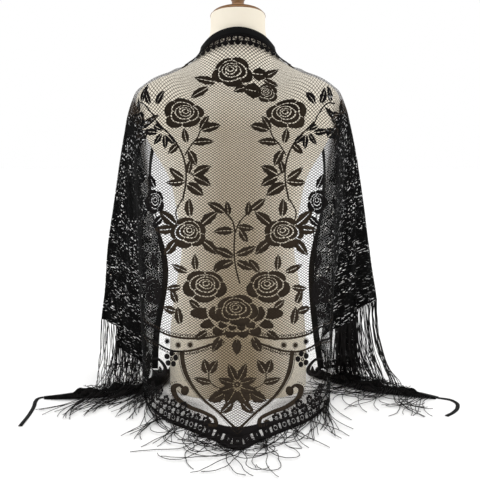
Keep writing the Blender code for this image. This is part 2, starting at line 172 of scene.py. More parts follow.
FRONT_EDGE = {
    "left": (
        # x, y, z
        (150, 70, 566),
        (161, 80, 548),
        (177, 91, 510),
        (194, 97, 450),
        (176, 103, 320),
        (165, 101, 205),
        (178, 93, 130),
        (187, 84, 65),
        (190, 76, 2),
    ),
    "right": (
        (150, 70, 566),
        (161, 80, 548),
        (176, 91, 510),
        (190, 97, 450),
        (172, 102, 320),
        (166, 98, 205),
        (170, 91, 130),
        (180, 82, 65),
        (190, 76, 2),
    ),
}
END_ROUTE = {
    "left": (
        # x, y, lace_width
        (183.5, 76.2, 26),
        (181, 38, 30),
        (188, 6, 36),
        (212, -18, 42),
        (250, -34, 42),
        (300, -50, 40),
        (344, -67, 26),
        (374, -77, 13),
        (392, -82, 4),
    ),
    "right": (
        (183.5, 75, 26),
        (190, 54, 32),
        (214, 35, 38),
        (250, 14, 44),
        (300, -18, 44),
        (344, -44, 34),
        (378, -67, 18),
        (402, -84, 4),
    ),
}
TIE_ROUTE = {
    "left": ((401, -88), (403, -102), (400, -128), (399, -168), (402, -224)),
    "right": ((412, -89), (426, -97), (433, -112), (428, -138), (414, -160), (397, -177)),
}
LAST = 12  # the number of the front edge's strand, from 0 at the middle of the back
LEVELS = (0.0, 0.13, 0.31, 0.62, 0.87, 1.0)  # shares of a strand: ribbon, ridge, ..., hem

# Places on the lace: across at each strand, and down at each level
ACROSS = (0, 45, 90, 130, 160, 186, 226, 276, 328, 384, 440, 500, 570)
DOWN = (0, 78, 180, 424, 647, 791)
EDGE = ACROSS[-1]
HEM = 791.0
STRAND_STEPS = 24  # columns of the net of points from one strand to the next
NET_ROWS = 397


def smooth(places, rows, at):
    """Reads a smooth curve through rows, whose places increase, at other places."""
    places = np.asarray(places, float)
    rows = np.asarray(rows, float)
    at = np.clip(np.asarray(at, float), places[0], places[-1])
    steps = np.diff(places).reshape((-1,) + (1,) * (rows.ndim - 1))
    slopes = np.diff(rows, axis=0) / steps
    tangents = np.empty_like(rows)
    tangents[0], tangents[-1] = slopes[0], slopes[-1]
    tangents[1:-1] = (slopes[1:] * steps[:-1] + slopes[:-1] * steps[1:]) / (steps[1:] + steps[:-1])
    i = np.clip(np.searchsorted(places, at, side="right") - 1, 0, len(places) - 2)
    h = steps[i]
    t = ((at - places[i]) / np.diff(places)[i]).reshape((-1,) + (1,) * (rows.ndim - 1))
    return (
        (2 * t**3 - 3 * t**2 + 1) * rows[i]
        + (t**3 - 2 * t**2 + t) * h * tangents[i]
        + (3 * t**2 - 2 * t**3) * rows[i + 1]
        + (t**3 - t**2) * h * tangents[i + 1]
    )


def unit(vectors):
    return vectors / np.maximum(np.linalg.norm(vectors, axis=-1, keepdims=True), 1e-9)


def grow(value, start, full):
    """0 up to start, 1 from full on, and straight between them. full may be the smaller one."""
    return np.clip((value - start) / (full - start), 0, 1)


def run_of(points):
    """The distance along a line of points."""
    return np.concatenate([[0], np.cumsum(np.linalg.norm(np.diff(points, axis=0), axis=1))])


def form_section(z):
    """The form's half width, half depth and middle y at height z."""
    table = np.array(FORM_SECTIONS, float)
    return smooth(table[:, 0], table[:, 1:], np.ravel(z)).reshape(np.shape(z) + (3,))


def form_level(points):
    """About how far points lie outside the form's section at their height, below 0 inside."""
    section = form_section(points[..., 2])
    across = np.abs(points[..., 0] / section[..., 0]) ** FORM_POWER
    along = np.abs((points[..., 1] - section[..., 2]) / section[..., 1]) ** FORM_POWER
    return ((across + along) ** (1 / FORM_POWER) - 1) * section[..., 1]


def clear_of_form(points):
    """Moves points that lie in the form, or too near to it, out along its surface's normal."""
    shape, points = points.shape, points.reshape(-1, 3).copy()
    near = np.flatnonzero(form_level(points) < NEAR_FORM)
    moved = points[near]
    gap = FORM_GAP + SHOULDER_GAP * np.interp(moved[:, 2], (565, 595, 650, 700), (0, 1, 1, 0))
    for _ in range(8):
        level = form_level(moved)
        probes = [form_level(moved + step) - level for step in np.eye(3) * PROBE]
        slope = np.stack(probes, -1) / PROBE
        steepness = np.maximum(np.linalg.norm(slope, axis=-1), 0.2)
        short = np.maximum(gap - level / steepness, 0)
        moved += slope / steepness[:, None] * short[:, None]
    points[near] = moved
    return points.reshape(shape)


def strand_table(side):
    """Points on the strands of one side at each level: an array of levels, strands, x y z."""
    columns = []
    for x, rx, ry, rz, gx, gy, gz, back_y, waist_y, low_y, hem_y in BACK_STRANDS:
        hanging = zip((back_y, waist_y, low_y, hem_y), BACK_HEIGHTS)
        columns.append([(rx, ry, rz), (gx, gy, gz)] + [(x, y, z) for y, z in hanging])
    for name, rx, ry, rz, gx, gy, gz, ex, ey, ez in SIDE_TOP:
        hem_x, hem_y, hem_z, bow = SIDE_HEM[side][name]
        edge, hem = np.array((ex, ey, ez)), np.array((hem_x, hem_y, hem_z))
        out = unit(np.array((hem_x, hem_y, 0.0))) * bow
        hanging = [edge + (hem - edge) * part + out * push for part, push in ((0.5, 1), (0.82, 0.5))]
        columns.append([(rx, ry, rz), (gx, gy, gz), edge] + hanging + [hem])
    front = np.array(FRONT_EDGE[side], float)
    length = run_of(front)
    columns.append(smooth(length, front, np.array(LEVELS) * length[-1]))
    table = np.array([np.array(column, float) for column in columns]).swapaxes(0, 1)
    table[..., 0] *= SIDES[side]
    return table


class Cloth:
    """A sheet's middle surface, read at (across, down) places from a fine net of points."""

    def __init__(self, across, down, points):
        self.across, self.down, self.points = across, down, points
        d_across = np.gradient(points, axis=1)
        d_down = np.gradient(points, axis=0)
        self.normals = unit(np.cross(d_down, d_across))

    def read(self, grid, places):
        """Values of a grid at places, straight between the net's points."""
        u = np.interp(places[..., 0], self.across, np.arange(len(self.across)))
        v = np.interp(places[..., 1], self.down, np.arange(len(self.down)))
        i = np.clip(v.astype(int), 0, len(self.down) - 2)
        j = np.clip(u.astype(int), 0, len(self.across) - 2)
        s, t = (v - i)[..., None], (u - j)[..., None]
        upper = grid[i, j] * (1 - t) + grid[i, j + 1] * t
        lower = grid[i + 1, j] * (1 - t) + grid[i + 1, j + 1] * t
        return upper * (1 - s) + lower * s

    def at(self, places):
        places = np.asarray(places, float)
        return self.read(self.points, places), unit(self.read(self.normals, places))

    def turn(self, centre):
        """The matrix from millimetres on the cloth near a place, across and down, to places."""
        around = np.array(((3, 0), (-3, 0), (0, 3), (0, -3)), float) + centre
        around[:, 0] = np.clip(around[:, 0], self.across[0], self.across[-1])
        around[:, 1] = np.clip(around[:, 1], self.down[0], self.down[-1])
        p = self.read(self.points, around)
        by_across = (p[0] - p[1]) / max(around[0, 0] - around[1, 0], 1e-6)
        by_down = (p[2] - p[3]) / max(around[2, 1] - around[3, 1], 1e-6)
        across = unit(by_across)
        down = unit(by_down - across * np.dot(by_down, across))
        slopes = np.stack([by_across, by_down], axis=1)
        return np.linalg.pinv(slopes) @ np.stack([across, down], axis=1)


def ripple(across, down):
    """How far the hanging cloth stands out of the plain drape: long soft creases that open
    downwards, fine on the sides and faint on the back."""
    side = grow(np.abs(across), 176, 216)
    hanging = grow(down, 190, 570)
    phase = across / 6.4 + 0.9 * np.sin(down / 170 + across / 90) + 1.3 * np.sin(across / 61)
    pleats = np.sin(phase) + 0.4 * np.sin(2.3 * phase + down / 120)
    back = np.sin(across / 27 + 0.8 * np.sin(down / 210)) * np.sin(down / 330 + across / 200)
    floor = grow(down, 770, 660)
    front = grow(np.abs(across), 566, 544)
    return hanging * (side * 5.2 * pleats * front + (1 - side) * 1.7 * back * floor)


def drape():
    """The whole lace triangle, as it hangs."""
    strands = np.concatenate([strand_table("left")[:, :0:-1], strand_table("right")], axis=1)
    numbers = np.arange(-LAST, LAST + 1)
    fine = np.linspace(-LAST, LAST, 2 * LAST * STRAND_STEPS + 1)
    down = np.linspace(0, HEM, NET_ROWS)
    rows = smooth(LEVELS, strands, np.interp(down, DOWN, LEVELS))
    points = np.stack([smooth(numbers, row, fine) for row in rows])
    points = clear_of_form(points)
    sign = np.sign(fine)
    across = sign * np.interp(np.abs(fine), np.arange(LAST + 1), ACROSS)
    cloth = Cloth(across, down, points)
    points = points + cloth.normals * ripple(across[None, :], down[:, None])[..., None]
    points[..., 2] = np.maximum(points[..., 2], LACE_HEIGHT)
    return Cloth(across, down, clear_of_form(points))


CLOTH = drape()


# ---------------------------------------------------------------- materials


def tinted(colour, share=1.0):
    """A colour times one number, or one for each part, as a shader takes it."""
    return (*np.minimum(np.multiply(colour, share), 1.0).tolist(), 1)


class Nodes:
    """Short ways to add nodes to a tree."""

    def __init__(self, tree):
        self.tree = tree

    def fill(self, socket, value):
        """Gives an input a value, or links an output to it."""
        if isinstance(value, bpy.types.NodeSocket):
            self.tree.links.new(value, socket)
        else:
            socket.default_value = value

    def node(self, kind, values=(), **settings):
        """Adds a node. values go to its inputs, in order or by name."""
        node = self.tree.nodes.new("ShaderNode" + kind)
        for key, value in settings.items():
            setattr(node, key, value)
        for key, value in values.items() if isinstance(values, dict) else enumerate(values):
            self.fill(node.inputs[key], value)
        return node

    def math(self, operation, *values, clamp=False):
        return self.node("Math", values, operation=operation, use_clamp=clamp).outputs[0]

    def ramp(self, value, *limits):
        """Moves a value from one range to another: from low, from high, to low, to high."""
        return self.node("MapRange", (value, *limits)).outputs[0]


class Finish(Nodes):
    """A material under construction. Its patterns are in metres."""

    def __init__(self, name, colour, roughness):
        self.material = bpy.data.materials.new(name)
        self.material.use_nodes = True
        self.material.diffuse_color = tinted(colour)
        super().__init__(self.material.node_tree)
        self.shader = self.tree.nodes["Principled BSDF"]
        self.set("Base Color", tinted(colour))
        self.set("Roughness", roughness)

    def set(self, socket, value):
        self.fill(self.shader.inputs[socket], value)

    def mix(self, factor, a, b):
        """A colour between a and b."""
        return self.node("Mix", {0: factor, 6: a, 7: b}, data_type="RGBA").outputs[2]

    def places(self, where="Object"):
        """x, y, z of the object, or u and v of the piece."""
        coordinates = self.node("TexCoord").outputs[where]
        return self.node("SeparateXYZ", [coordinates]).outputs[: 2 if where == "UV" else 3]

    def attribute(self, name):
        return self.node("Attribute", attribute_name=name).outputs["Fac"]

    def noise(self, scale, detail=2, where="Object", stretch=(1, 1, 1)):
        vector = self.node("TexCoord").outputs[where]
        vector = self.node("Mapping", {"Vector": vector, "Scale": stretch}).outputs[0]
        return self.node("TexNoise", {"Vector": vector, "Scale": scale, "Detail": detail}).outputs[0]

    def waves(self, value, pace):
        """Ridges along a coordinate; pace is in radians a metre."""
        return self.math("SINE", self.math("MULTIPLY", value, pace))

    def bump(self, height, distance, strength):
        values = {"Height": height, "Distance": distance, "Strength": strength}
        self.set("Normal", self.node("Bump", values).outputs[0])

    def lattice(self, u, v, width, height, share, soft=0.12):
        """1 on two sets of threads that cross on the slant, 0 in the holes, which are width by
        height. share is how much of the way between two threads a thread covers, and soft how
        much of that its edges take."""
        lines = []
        level = self.math("MULTIPLY", v, 1 / height)
        for slope in (1, -1):
            slant = self.math("MULTIPLY_ADD", u, slope / width, level)
            off = self.math("ABSOLUTE", self.math("SUBTRACT", self.math("FRACT", slant), 0.5))
            low, high = (0.5 - share / 2 * (1 + edge) for edge in (soft, -soft))
            lines.append(self.ramp(off, low, high, 0.0, 1.0))
        return self.math("MAXIMUM", *lines)

    def glinting(self, colour):
        """A colour with painted glints: white specks for threads that catch the light, apart from where
        the attribute quiet is 1."""
        glint_spots = self.ramp(self.noise(230, 3, "UV", (0.8, 1, 1)), 0.605, 0.628, 0.0, 1.0)
        patches = self.ramp(self.noise(24, 4, "UV"), 0.46, 0.53, 0.02, 1.0)
        loud = self.math("SUBTRACT", 1.0, self.attribute("quiet"))
        lit = self.math("MULTIPLY", self.math("MULTIPLY", glint_spots, patches), loud)
        return self.mix(lit, tinted(colour), (1.0, 1.0, 1.0, 1))

    def open_work(self, alpha):
        """Shows a closed sheet's pattern once, on the side that it is seen from."""
        behind = self.node("NewGeometry").outputs["Backfacing"]
        self.set("Alpha", self.math("MULTIPLY", alpha, self.math("SUBTRACT", 1.0, behind)))


GATHERED_BLACK = (0.004, 0.004, 0.004)
BORDER_BLACK = (0.007, 0.006, 0.006)
NET_SHARE = 0.24
GROUND_HOLE, GROUND_SHARE = 0.0017, 0.105
DRAWN_SIZE, DRAWN_SHARE = 0.62, 0.72  # the size of its holes beside the open net's
PULLED_TOP, PULLED = 0.10, 0.26  # above this v, the share by which the pattern is slowed


def wobbled(finish, amount, scale):
    """The piece's own u and v, moved a little, so that no thread runs dead straight."""
    u, v = finish.places("UV")
    shift = finish.math("SUBTRACT", finish.noise(scale, 4, "UV"), 0.5)
    return finish.math("MULTIPLY_ADD", shift, amount, u), finish.math("MULTIPLY_ADD", shift, -amount, v)


def net_finish(colour, width, height):
    """Open diamond net, pulled longer near the neck. Where the attribute sheer is 1 it is a fine
    plain ground, and where the attribute gathered is 1 its holes are drawn together."""
    finish = Finish("net", colour, 0.8)
    finish.set("Specular IOR Level", 0.06)
    u, v = wobbled(finish, 0.0022, 45)
    pulled = finish.math("MULTIPLY_ADD", finish.math("MINIMUM", v, PULLED_TOP), -PULLED, v)
    net = finish.lattice(u, pulled, width, height, NET_SHARE, 0.04)
    ground = finish.lattice(u, v, GROUND_HOLE, GROUND_HOLE, GROUND_SHARE)
    drawn = finish.lattice(u, v, width * DRAWN_SIZE, height * DRAWN_SIZE, DRAWN_SHARE)
    sheer, gathered = finish.attribute("sheer"), finish.attribute("gathered")
    plain = finish.math("SUBTRACT", finish.math("SUBTRACT", 1.0, sheer), gathered)
    threads = finish.math("MULTIPLY", net, plain, clamp=True)
    threads = finish.math("MULTIPLY_ADD", ground, sheer, threads)
    threads = finish.math("MULTIPLY_ADD", drawn, gathered, threads, clamp=True)
    finish.open_work(threads)
    tone = finish.node("ValToRGB", [finish.noise(30, 2, "UV")])
    for element, share in zip(tone.color_ramp.elements, (0.7, 1.5)):
        element.color = tinted(colour, share)
    # The net is black where dark is 1, with painted glints where it is gathered; elsewhere it is brown,
    # partly painted warm light from the cream form.
    black = finish.mix(gathered, tinted(GATHERED_BLACK), finish.glinting(GATHERED_BLACK))
    finish.set("Base Color", finish.mix(finish.attribute("dark"), tone.outputs[0], black))
    return finish.material


def knit_finish(name, colour, glints=False):
    """Close knitting in fine slanted rows, a little browner in patches and toward the floor, or
    with painted glints instead."""
    finish = Finish(name, colour, 0.78)
    u, v = wobbled(finish, 0.0008, 90)
    rows = finish.waves(finish.math("ADD", u, v), 5200.0)
    ribs = finish.waves(finish.math("SUBTRACT", u, v), 7400.0)
    finish.bump(finish.math("MULTIPLY_ADD", rows, 0.6, ribs), 0.0002, 0.7)
    finish.set("Specular IOR Level", 0.05)
    if glints:
        finish.set("Base Color", finish.glinting(colour))
        return finish.material
    patches = finish.ramp(finish.noise(26, 3, "UV"), 0.3, 0.7, 0.0, 0.5)
    # lighter and browner toward the floor
    toward_floor = finish.ramp(finish.places()[2], 0.66, 0.28, 0.0, 0.6)
    tone = finish.math("ADD", patches, toward_floor, clamp=True)
    finish.set("Base Color", finish.mix(tone, tinted(colour, 0.45), tinted(colour, 1.6)))
    return finish.material


def ribbon_finish(colour):
    """Satin ribbon: a fine weave along its length, woven edges, and soft uneven gloss."""
    finish = Finish("satin ribbon", colour, 0.42)
    finish.set("Specular IOR Level", 0.02)
    u, v = finish.places("UV")
    weave, cords = finish.waves(u, 9000.0), finish.waves(v, 5200.0)
    finish.bump(finish.math("MULTIPLY_ADD", weave, 0.5, cords), 0.00012, 0.6)
    patches = finish.noise(35, 3, "UV", (1, 4, 1))
    finish.set("Roughness", finish.ramp(patches, 0.3, 0.7, 0.3, 0.48))
    finish.set("Base Color", finish.mix(patches, tinted(colour), tinted(colour, 1.8)))
    return finish.material


def thread_finish(colour):
    """Twisted fringe thread. u goes round it and v along it."""
    finish = Finish("fringe thread", colour, 0.5)
    finish.set("Specular IOR Level", 0.05)
    u, v = finish.places("UV")
    along = finish.math("MULTIPLY", v, 4200.0)
    finish.bump(finish.math("SINE", finish.math("MULTIPLY_ADD", u, 6.283, along)), 0.0002, 0.8)
    finish.set("Base Color", finish.mix(finish.noise(60), tinted(colour, 0.6), tinted(colour, 2)))
    return finish.material


def cover_finish(colour):
    """Plain woven cotton over padding, with faint mottling. Down the middle of its back it has
    painted shade, stronger lower down."""
    finish = Finish("woven cover", colour, 0.82)
    x, y, z = finish.places()
    warp, weft = finish.waves(finish.math("ADD", x, y), 5400.0), finish.waves(z, 6100.0)
    finish.bump(finish.math("MULTIPLY", warp, weft), 0.0002, 0.35)
    mottled = finish.ramp(finish.noise(9, 4), 0.3, 0.7, 0.0, 1.0)
    cotton = finish.mix(mottled, tinted(colour, (0.93, 0.91, 0.87)), tinted(colour))
    # painted shade: darker down the middle of the back, where the hollow under the shawl lies in shade
    middle = finish.ramp(finish.math("ABSOLUTE", x), 0.03, 0.135, 1.0, 0.0)
    below = finish.ramp(z, 0.54, 0.64, 1.0, 0.0)
    behind = finish.ramp(y, -0.06, -0.02, 1.0, 0.0)
    deeper = finish.ramp(z, 0.1, 0.5, 1.0, 0.6)
    painted_shade = finish.math("MULTIPLY", middle, finish.math("MULTIPLY", below, behind))
    painted_shade = finish.math("MULTIPLY", painted_shade, deeper)
    finish.set("Base Color", finish.mix(painted_shade, cotton, tinted(colour, (0.40, 0.34, 0.25))))
    finish.set("Sheen Weight", 0.1)
    return finish.material


def wood_finish(colour):
    """Varnished turned wood, its grain running across the cap."""
    finish = Finish("varnished wood", colour, 0.32)
    vector = finish.node("TexCoord").outputs["Object"]
    vector = finish.node("Mapping", {"Vector": vector, "Scale": (3, 26, 26)}).outputs[0]
    values = {"Vector": vector, "Scale": 3.2, "Distortion": 3.5, "Detail": 3.0, "Detail Scale": 1.6}
    grain = finish.node("TexWave", values, wave_type="RINGS").outputs["Fac"]
    pores = finish.noise(700, 2, "Object", (0.12, 1, 1))
    tone = finish.math("MULTIPLY_ADD", pores, 0.35, finish.math("MULTIPLY", grain, 0.7), clamp=True)
    finish.set("Base Color", finish.mix(tone, tinted(colour, 0.42), tinted(colour, 1.35)))
    finish.bump(grain, 0.0002, 0.3)
    for socket, value in (("Specular IOR Level", 0.3), ("Coat Weight", 0.22), ("Coat Roughness", 0.15)):
        finish.set(socket, value)
    return finish.material


# ---------------------------------------------------------------- meshes


def made(name, points, faces, finishes, uvs, chosen=None, attributes=()):
    """A new smooth piece on the object's body. points are in mm, uvs in mm for each point."""
    mesh = bpy.data.meshes.new(name)
    mesh.from_pydata((np.asarray(points) * MM).tolist(), [], faces)
    for material in finishes:
        mesh.materials.append(material)
    if chosen is not None:
        mesh.polygons.foreach_set("material_index", np.asarray(chosen, np.int32))
    mesh.polygons.foreach_set("use_smooth", np.full(len(mesh.polygons), True))
    corners = np.empty(len(mesh.loops), np.int32)
    mesh.loops.foreach_get("vertex_index", corners)
    layer = mesh.uv_layers.new(name="UVMap")
    layer.data.foreach_set("uv", (np.asarray(uvs, float)[corners] * MM).ravel())
    for key, values in dict(attributes).items():
        mesh.attributes.new(key, "FLOAT", "POINT").data.foreach_set("value", np.asarray(values, float))
    mesh.update()
    piece = bpy.data.objects.new(name, mesh)
    bpy.context.scene.collection.objects.link(piece)
    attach(piece, BODY)
    return piece


def grid_faces(rows, columns, closed, start, flip):
    """The faces of a closed plate between two skins of rows by columns points. A closed strip joins
    its last column to its first."""
    index = np.arange(rows * columns).reshape(rows, columns)
    if closed:
        index = np.concatenate([index, index[:, :1]], axis=1)
    a, b, c, d = index[:-1, :-1], index[:-1, 1:], index[1:, 1:], index[1:, :-1]
    front = np.stack([a, b, c, d], -1).reshape(-1, 4)
    size = rows * columns
    back = front[:, ::-1] + size
    rims = [(index[0, 1:], index[0, :-1]), (index[-1, :-1], index[-1, 1:])]
    if not closed:
        rims += [(index[:-1, 0], index[1:, 0]), (index[1:, -1], index[:-1, -1])]
    sides = [np.stack([p, q, q + size, p + size], -1).reshape(-1, 4) for p, q in rims]
    faces = np.concatenate([front, back, *sides])
    if flip:
        faces = faces[:, ::-1]
    return (faces + start).tolist()


class Plates:
    """Thin closed plates that follow surfaces, gathered into one piece."""

    def __init__(self, thickness):
        self.thickness = thickness
        self.points, self.faces, self.uvs, self.chosen = [], [], [], []
        self.count = 0

    def add(self, points, normals, uvs, closed=False, choice=0):
        """One plate on a grid of points, with its normals and its places. choice is the number of
        its finish."""
        half = self.thickness / 2
        rows, columns = points.shape[:2]
        span, fall = points[0, 1] - points[0, 0], points[-1, 0] - points[0, 0]
        flip = np.dot(np.cross(span, fall), normals[0, 0]) < 0
        outer, inner = points + normals * half, points - normals * half
        # the front skin is counter-clockwise about its normal when flip is False
        faces = grid_faces(rows, columns, closed, self.count, flip)
        self.points += [outer.reshape(-1, 3), inner.reshape(-1, 3)]
        self.uvs += [uvs.reshape(-1, 2)] * 2
        self.faces += faces
        self.chosen += [choice] * len(faces)
        self.count += 2 * rows * columns

    def lay(self, cloth, grid, closed=False, choice=0, lift=0.0):
        """A plate on cloth at a grid of places."""
        points, normals = cloth.at(grid)
        self.add(points + normals * lift, normals, grid, closed, choice)

    def build(self, name, finishes, slot, attributes=()):
        points, uvs = np.concatenate(self.points), np.concatenate(self.uvs)
        chosen = np.minimum(self.chosen, len(finishes) - 1)
        return made(name, points, self.faces, finishes, uvs, chosen, attributes)


# ---------------------------------------------------------------- knitted shapes, about (0, 0)

# A shape is a grid of points, and whether its last column joins its first.

def between(a, b, rows=2):
    """A grid of rows from line a to line b."""
    return a + (b - a) * np.linspace(0, 1, rows)[:, None, None]


def level_strip(along, near, far, rows=2):
    """A grid of places along a stretch, between two distances down."""
    return between(*(np.stack([along, down + 0 * along], 1) for down in (near, far)), rows)


def circle_at(angles):
    return np.stack([np.cos(angles), np.sin(angles)], 1)


def left_of(line):
    """Unit vectors square to a flat line."""
    along = unit(np.gradient(line, axis=0))
    return np.stack([-along[:, 1], along[:, 0]], 1)


def leaf(length, width, bend=0.12):
    """Two toothed blades with an open vein between them. It points along +x."""
    t = np.array((0.0, 0.12, 0.27, 0.42, 0.57, 0.72, 0.86, 1.0))
    half = width / 2 * 1.08 * np.sin(math.pi * t**0.8) ** 0.8
    half *= 1 + 0.07 * np.array((0, 1, -1, 1, -1, 1, -1, 0))
    vein = min(0.95, 0.056 * width) * (1 - t) ** 0.45
    curve = bend * length * (t**2 - t)
    blades = []
    for side in (1, -1):
        inner = np.stack([t * length, curve + side * vein], 1)
        outer = np.stack([t * length, curve + side * np.maximum(half, vein + 0.05)], 1)
        blades.append((between(inner, outer), False))
    return blades


def disc(radius, count, at=(0, 0)):
    upper = circle_at(np.linspace(math.pi, 0, count)) * radius
    return between(upper + at, upper * (1, -1) + at), False


def ring(inner, outer, count):
    circle = circle_at(np.linspace(0, 2 * math.pi, count, endpoint=False))
    return between(circle * inner, circle * outer), True


ROSE_TURNS = ((0.12, 1), (0.27, 2), (0.45, 2), (0.69, 3), (1.03, 5))  # radius, petals
SMALL_ROSE_TURNS = ((0.17, 1), (0.38, 2), (0.64, 3), (1.04, 5))


def rose(width, height, turn=0.0, turns=ROSE_TURNS, count=9, gap=0.058):
    """An open rose: a heart and turns of scalloped petals, with narrow gaps between them."""

    def edge(number, angle):
        radius, petals = turns[number]
        lobe = np.abs(np.cos(petals * (angle - phase(number)) / 2)) ** 0.7
        return radius * (0.87 + 0.17 * lobe + 0.03 * np.sin(3 * angle + number))

    def phase(number):
        return math.radians(turn + 53 * number)

    shapes = [disc(turns[0][0], 6)[0]]
    for number in range(1, len(turns)):
        petals = turns[number][1]
        half = math.pi / petals - 0.42 * gap / turns[number][0]
        for k in range(petals):
            angle = phase(number) + 2 * math.pi * k / petals + np.linspace(-half, half, count)
            near = edge(number - 1, angle) + gap
            far = np.maximum(edge(number, angle), near + 0.02)
            circle = circle_at(angle)
            shapes.append(between(circle * near[:, None], circle * far[:, None]))
    placed = []
    for grid in shapes:
        lean = (1 - np.linalg.norm(grid, axis=-1, keepdims=True)) * (-0.08, 0.22)
        placed.append(((grid + lean) * (width / 2, height / 2), False))
    return placed


def skirt(width, height, petals):
    """Broad petals that spread from under a rose: start and end in degrees, near and far radius."""
    shapes = []
    for start, end, near, far in petals:
        tau = np.linspace(0, 1, 9)
        circle = circle_at(np.radians(start + (end - start) * tau))
        edge = near + (far - near) * np.sin(math.pi * np.clip(tau, 0.06, 0.94)) ** 0.5
        shapes.append((between(circle * near, circle * edge[:, None]) * (width / 2, height / 2), False))
    return shapes


def flower(radius, petals=5, heart=0.24):
    """A small flower: round petals about a ring."""
    shapes = [ring(radius * heart * 0.45, radius * heart, 8)]
    for k in range(petals):
        turn = 2 * math.pi * k / petals + 0.4
        centre = np.array((math.cos(turn), math.sin(turn))) * radius * 0.66
        shapes.append(disc(radius * 0.36, 5, centre))
    return shapes


def stem(points, width, count):
    """A stem along smooth points, in places; width is one number or one for each point."""
    points = np.asarray(points, float)
    run = run_of(points)
    line = smooth(run, points, np.linspace(0, run[-1], count))
    shares = np.linspace(0, 1, np.size(width))
    half = np.interp(np.linspace(0, 1, count), shares, np.atleast_1d(width)) / 2
    off = left_of(line) * half[:, None]
    return between(line + off, line - off)


# ---------------------------------------------------------------- where the flowers lie

# Distances are from the pattern's middle line, so a table for both sides is mirrored. Angles
# turn from straight outwards (0) to straight up (90).
BOTH_LEAVES = (
    # out, down, angle, length, width: the foot of each leaf
    (180, 138, 100, 26, 12),
    (162, 143, 72, 28, 12),
    (150, 144, 128, 28, 12),
    (156, 176, 205, 28, 12),
    (146, 190, 8, 34, 13),
    (138, 192, -58, 26, 11),
    (132, 194, -98, 28, 11),
    (128, 196, -140, 26, 11),
    (106, 214, -40, 27, 13),
    (66, 184, 128, 28, 12),
    (62, 184, 168, 36, 14),
    (80, 212, 176, 40, 14),
    (90, 212, 78, 30, 13),
    (87, 228, -118, 32, 16),
    (88, 272, 104, 28, 12),
    (78, 275, 152, 36, 17),
    (78, 278, -152, 36, 17),
    (96, 283, 38, 38, 14),
    (94, 287, -2, 38, 14),
    (91, 292, -148, 40, 20),
    (112, 366, 40, 44, 20),
    (116, 372, -8, 40, 17),
    (112, 392, -52, 40, 18),
    (66, 366, 140, 42, 18),
    (64, 392, -140, 40, 18),
    (86, 350, 86, 34, 16),
    (150, 300, 60, 30, 14),
    (138, 352, -40, 30, 14),
    (92, 452, 20, 36, 13),
    (76, 447, 84, 30, 13),
    (42, 450, 128, 32, 13),
    (104, 482, -10, 34, 13),
    (152, 452, 70, 32, 14),
    (156, 470, -25, 32, 14),
    (150, 476, -88, 32, 14),
    (146, 520, 60, 30, 13),
    (150, 538, -20, 30, 13),
    (112, 514, 62, 30, 15),
    (114, 530, 8, 30, 15),
    (106, 554, 76, 34, 17),
    (54, 641, 62, 28, 17),
    (52, 641, 116, 28, 17),
    (48, 661, 6, 36, 13),
)
BOTH_ROSES = (
    # out, down, width, height, turn
    (97, 156, 80, 54, 20),
    (90, 380, 72, 56, 80),
    (152, 326, 40, 44, 50),
    (60, 478, 82, 58, -15),
    (160, 500, 44, 46, 10),
)
BOTH_STEMS = (
    # width, then out and down of its points
    (2.2, (196, 141), (178, 140), (160, 158), (150, 172), (140, 182)),
    (3.2, (150, 170), (130, 186), (109, 212), (95, 246), (92, 284), (99, 322)),
    (2.6, (94, 238), (82, 216), (70, 200), (65, 184)),
    (2.2, (92, 268), (84, 272), (77, 277)),
    (2.4, (100, 320), (112, 345), (108, 362)),
    (2.0, (152, 346), (146, 380), (152, 420), (150, 480)),
    (2.2, (26, 672), (42, 668), (52, 656), (53, 640)),
)
TOP_LEAVES = (
    # x, down, angle, length, width
    (26, 74, 2, 32, 24),
    (46, 78, 26, 36, 15),
    (48, 84, -28, 32, 14),
    (-42, 90, 170, 42, 16),
    (-54, 100, 216, 42, 15),
    (44, 112, 172, 36, 26),
    (16, 102, 200, 26, 15),
)
SPRIG_LEAVES = (
    (-24, 342, 152, 38, 16),
    (-18, 348, 98, 28, 12),
    (-8, 374, 184, 38, 15),
    (24, 338, 38, 36, 14),
    (18, 348, 84, 28, 12),
    (0, 366, -8, 32, 13),
    (4, 372, -58, 28, 13),
    (-8, 420, 158, 42, 16),
    (-8, 428, 204, 36, 15),
    (-4, 416, 22, 42, 15),
    (-2, 428, -24, 36, 15),
)
TOP_ROSES = (
    # x, down, width, height, turn
    (-10, 73, 74, 54, 200),
    (54, 113, 42, 34, 30),
)
BIG_ROSE = (76, 56)  # width, height
BIG_ROSE_DOWN = 522
BIG_PETALS = (
    # start and end of each petal in degrees, near and far radius: the right half of the skirt
    (-40, 12, 1.07, 1.42),
    (-66, -43, 1.07, 1.44),
    (-89, -69, 1.07, 1.40),
    (-21, 4, 1.50, 2.34),
    (-43, -24, 1.48, 2.14),
    (-65, -46, 1.50, 1.98),
    (-90, -68, 1.46, 1.88),
)
BIG_LEAVES = (
    # out, down, angle, length, width
    (70, 520, 34, 26, 13),
    (56, 562, -36, 30, 14),
    (30, 572, -60, 32, 16),
    (0, 576, -90, 30, 15),
)
SPRIG_STEMS = (
    # width, then x and down of its points
    (3.0, (4, 472), (-4, 440), (-7, 405), (-6, 372), (-10, 356), (-24, 342)),
    (2.6, (-6, 380), (4, 358), (22, 340)),
    (2.2, (-42, 92), (-52, 98)),
)

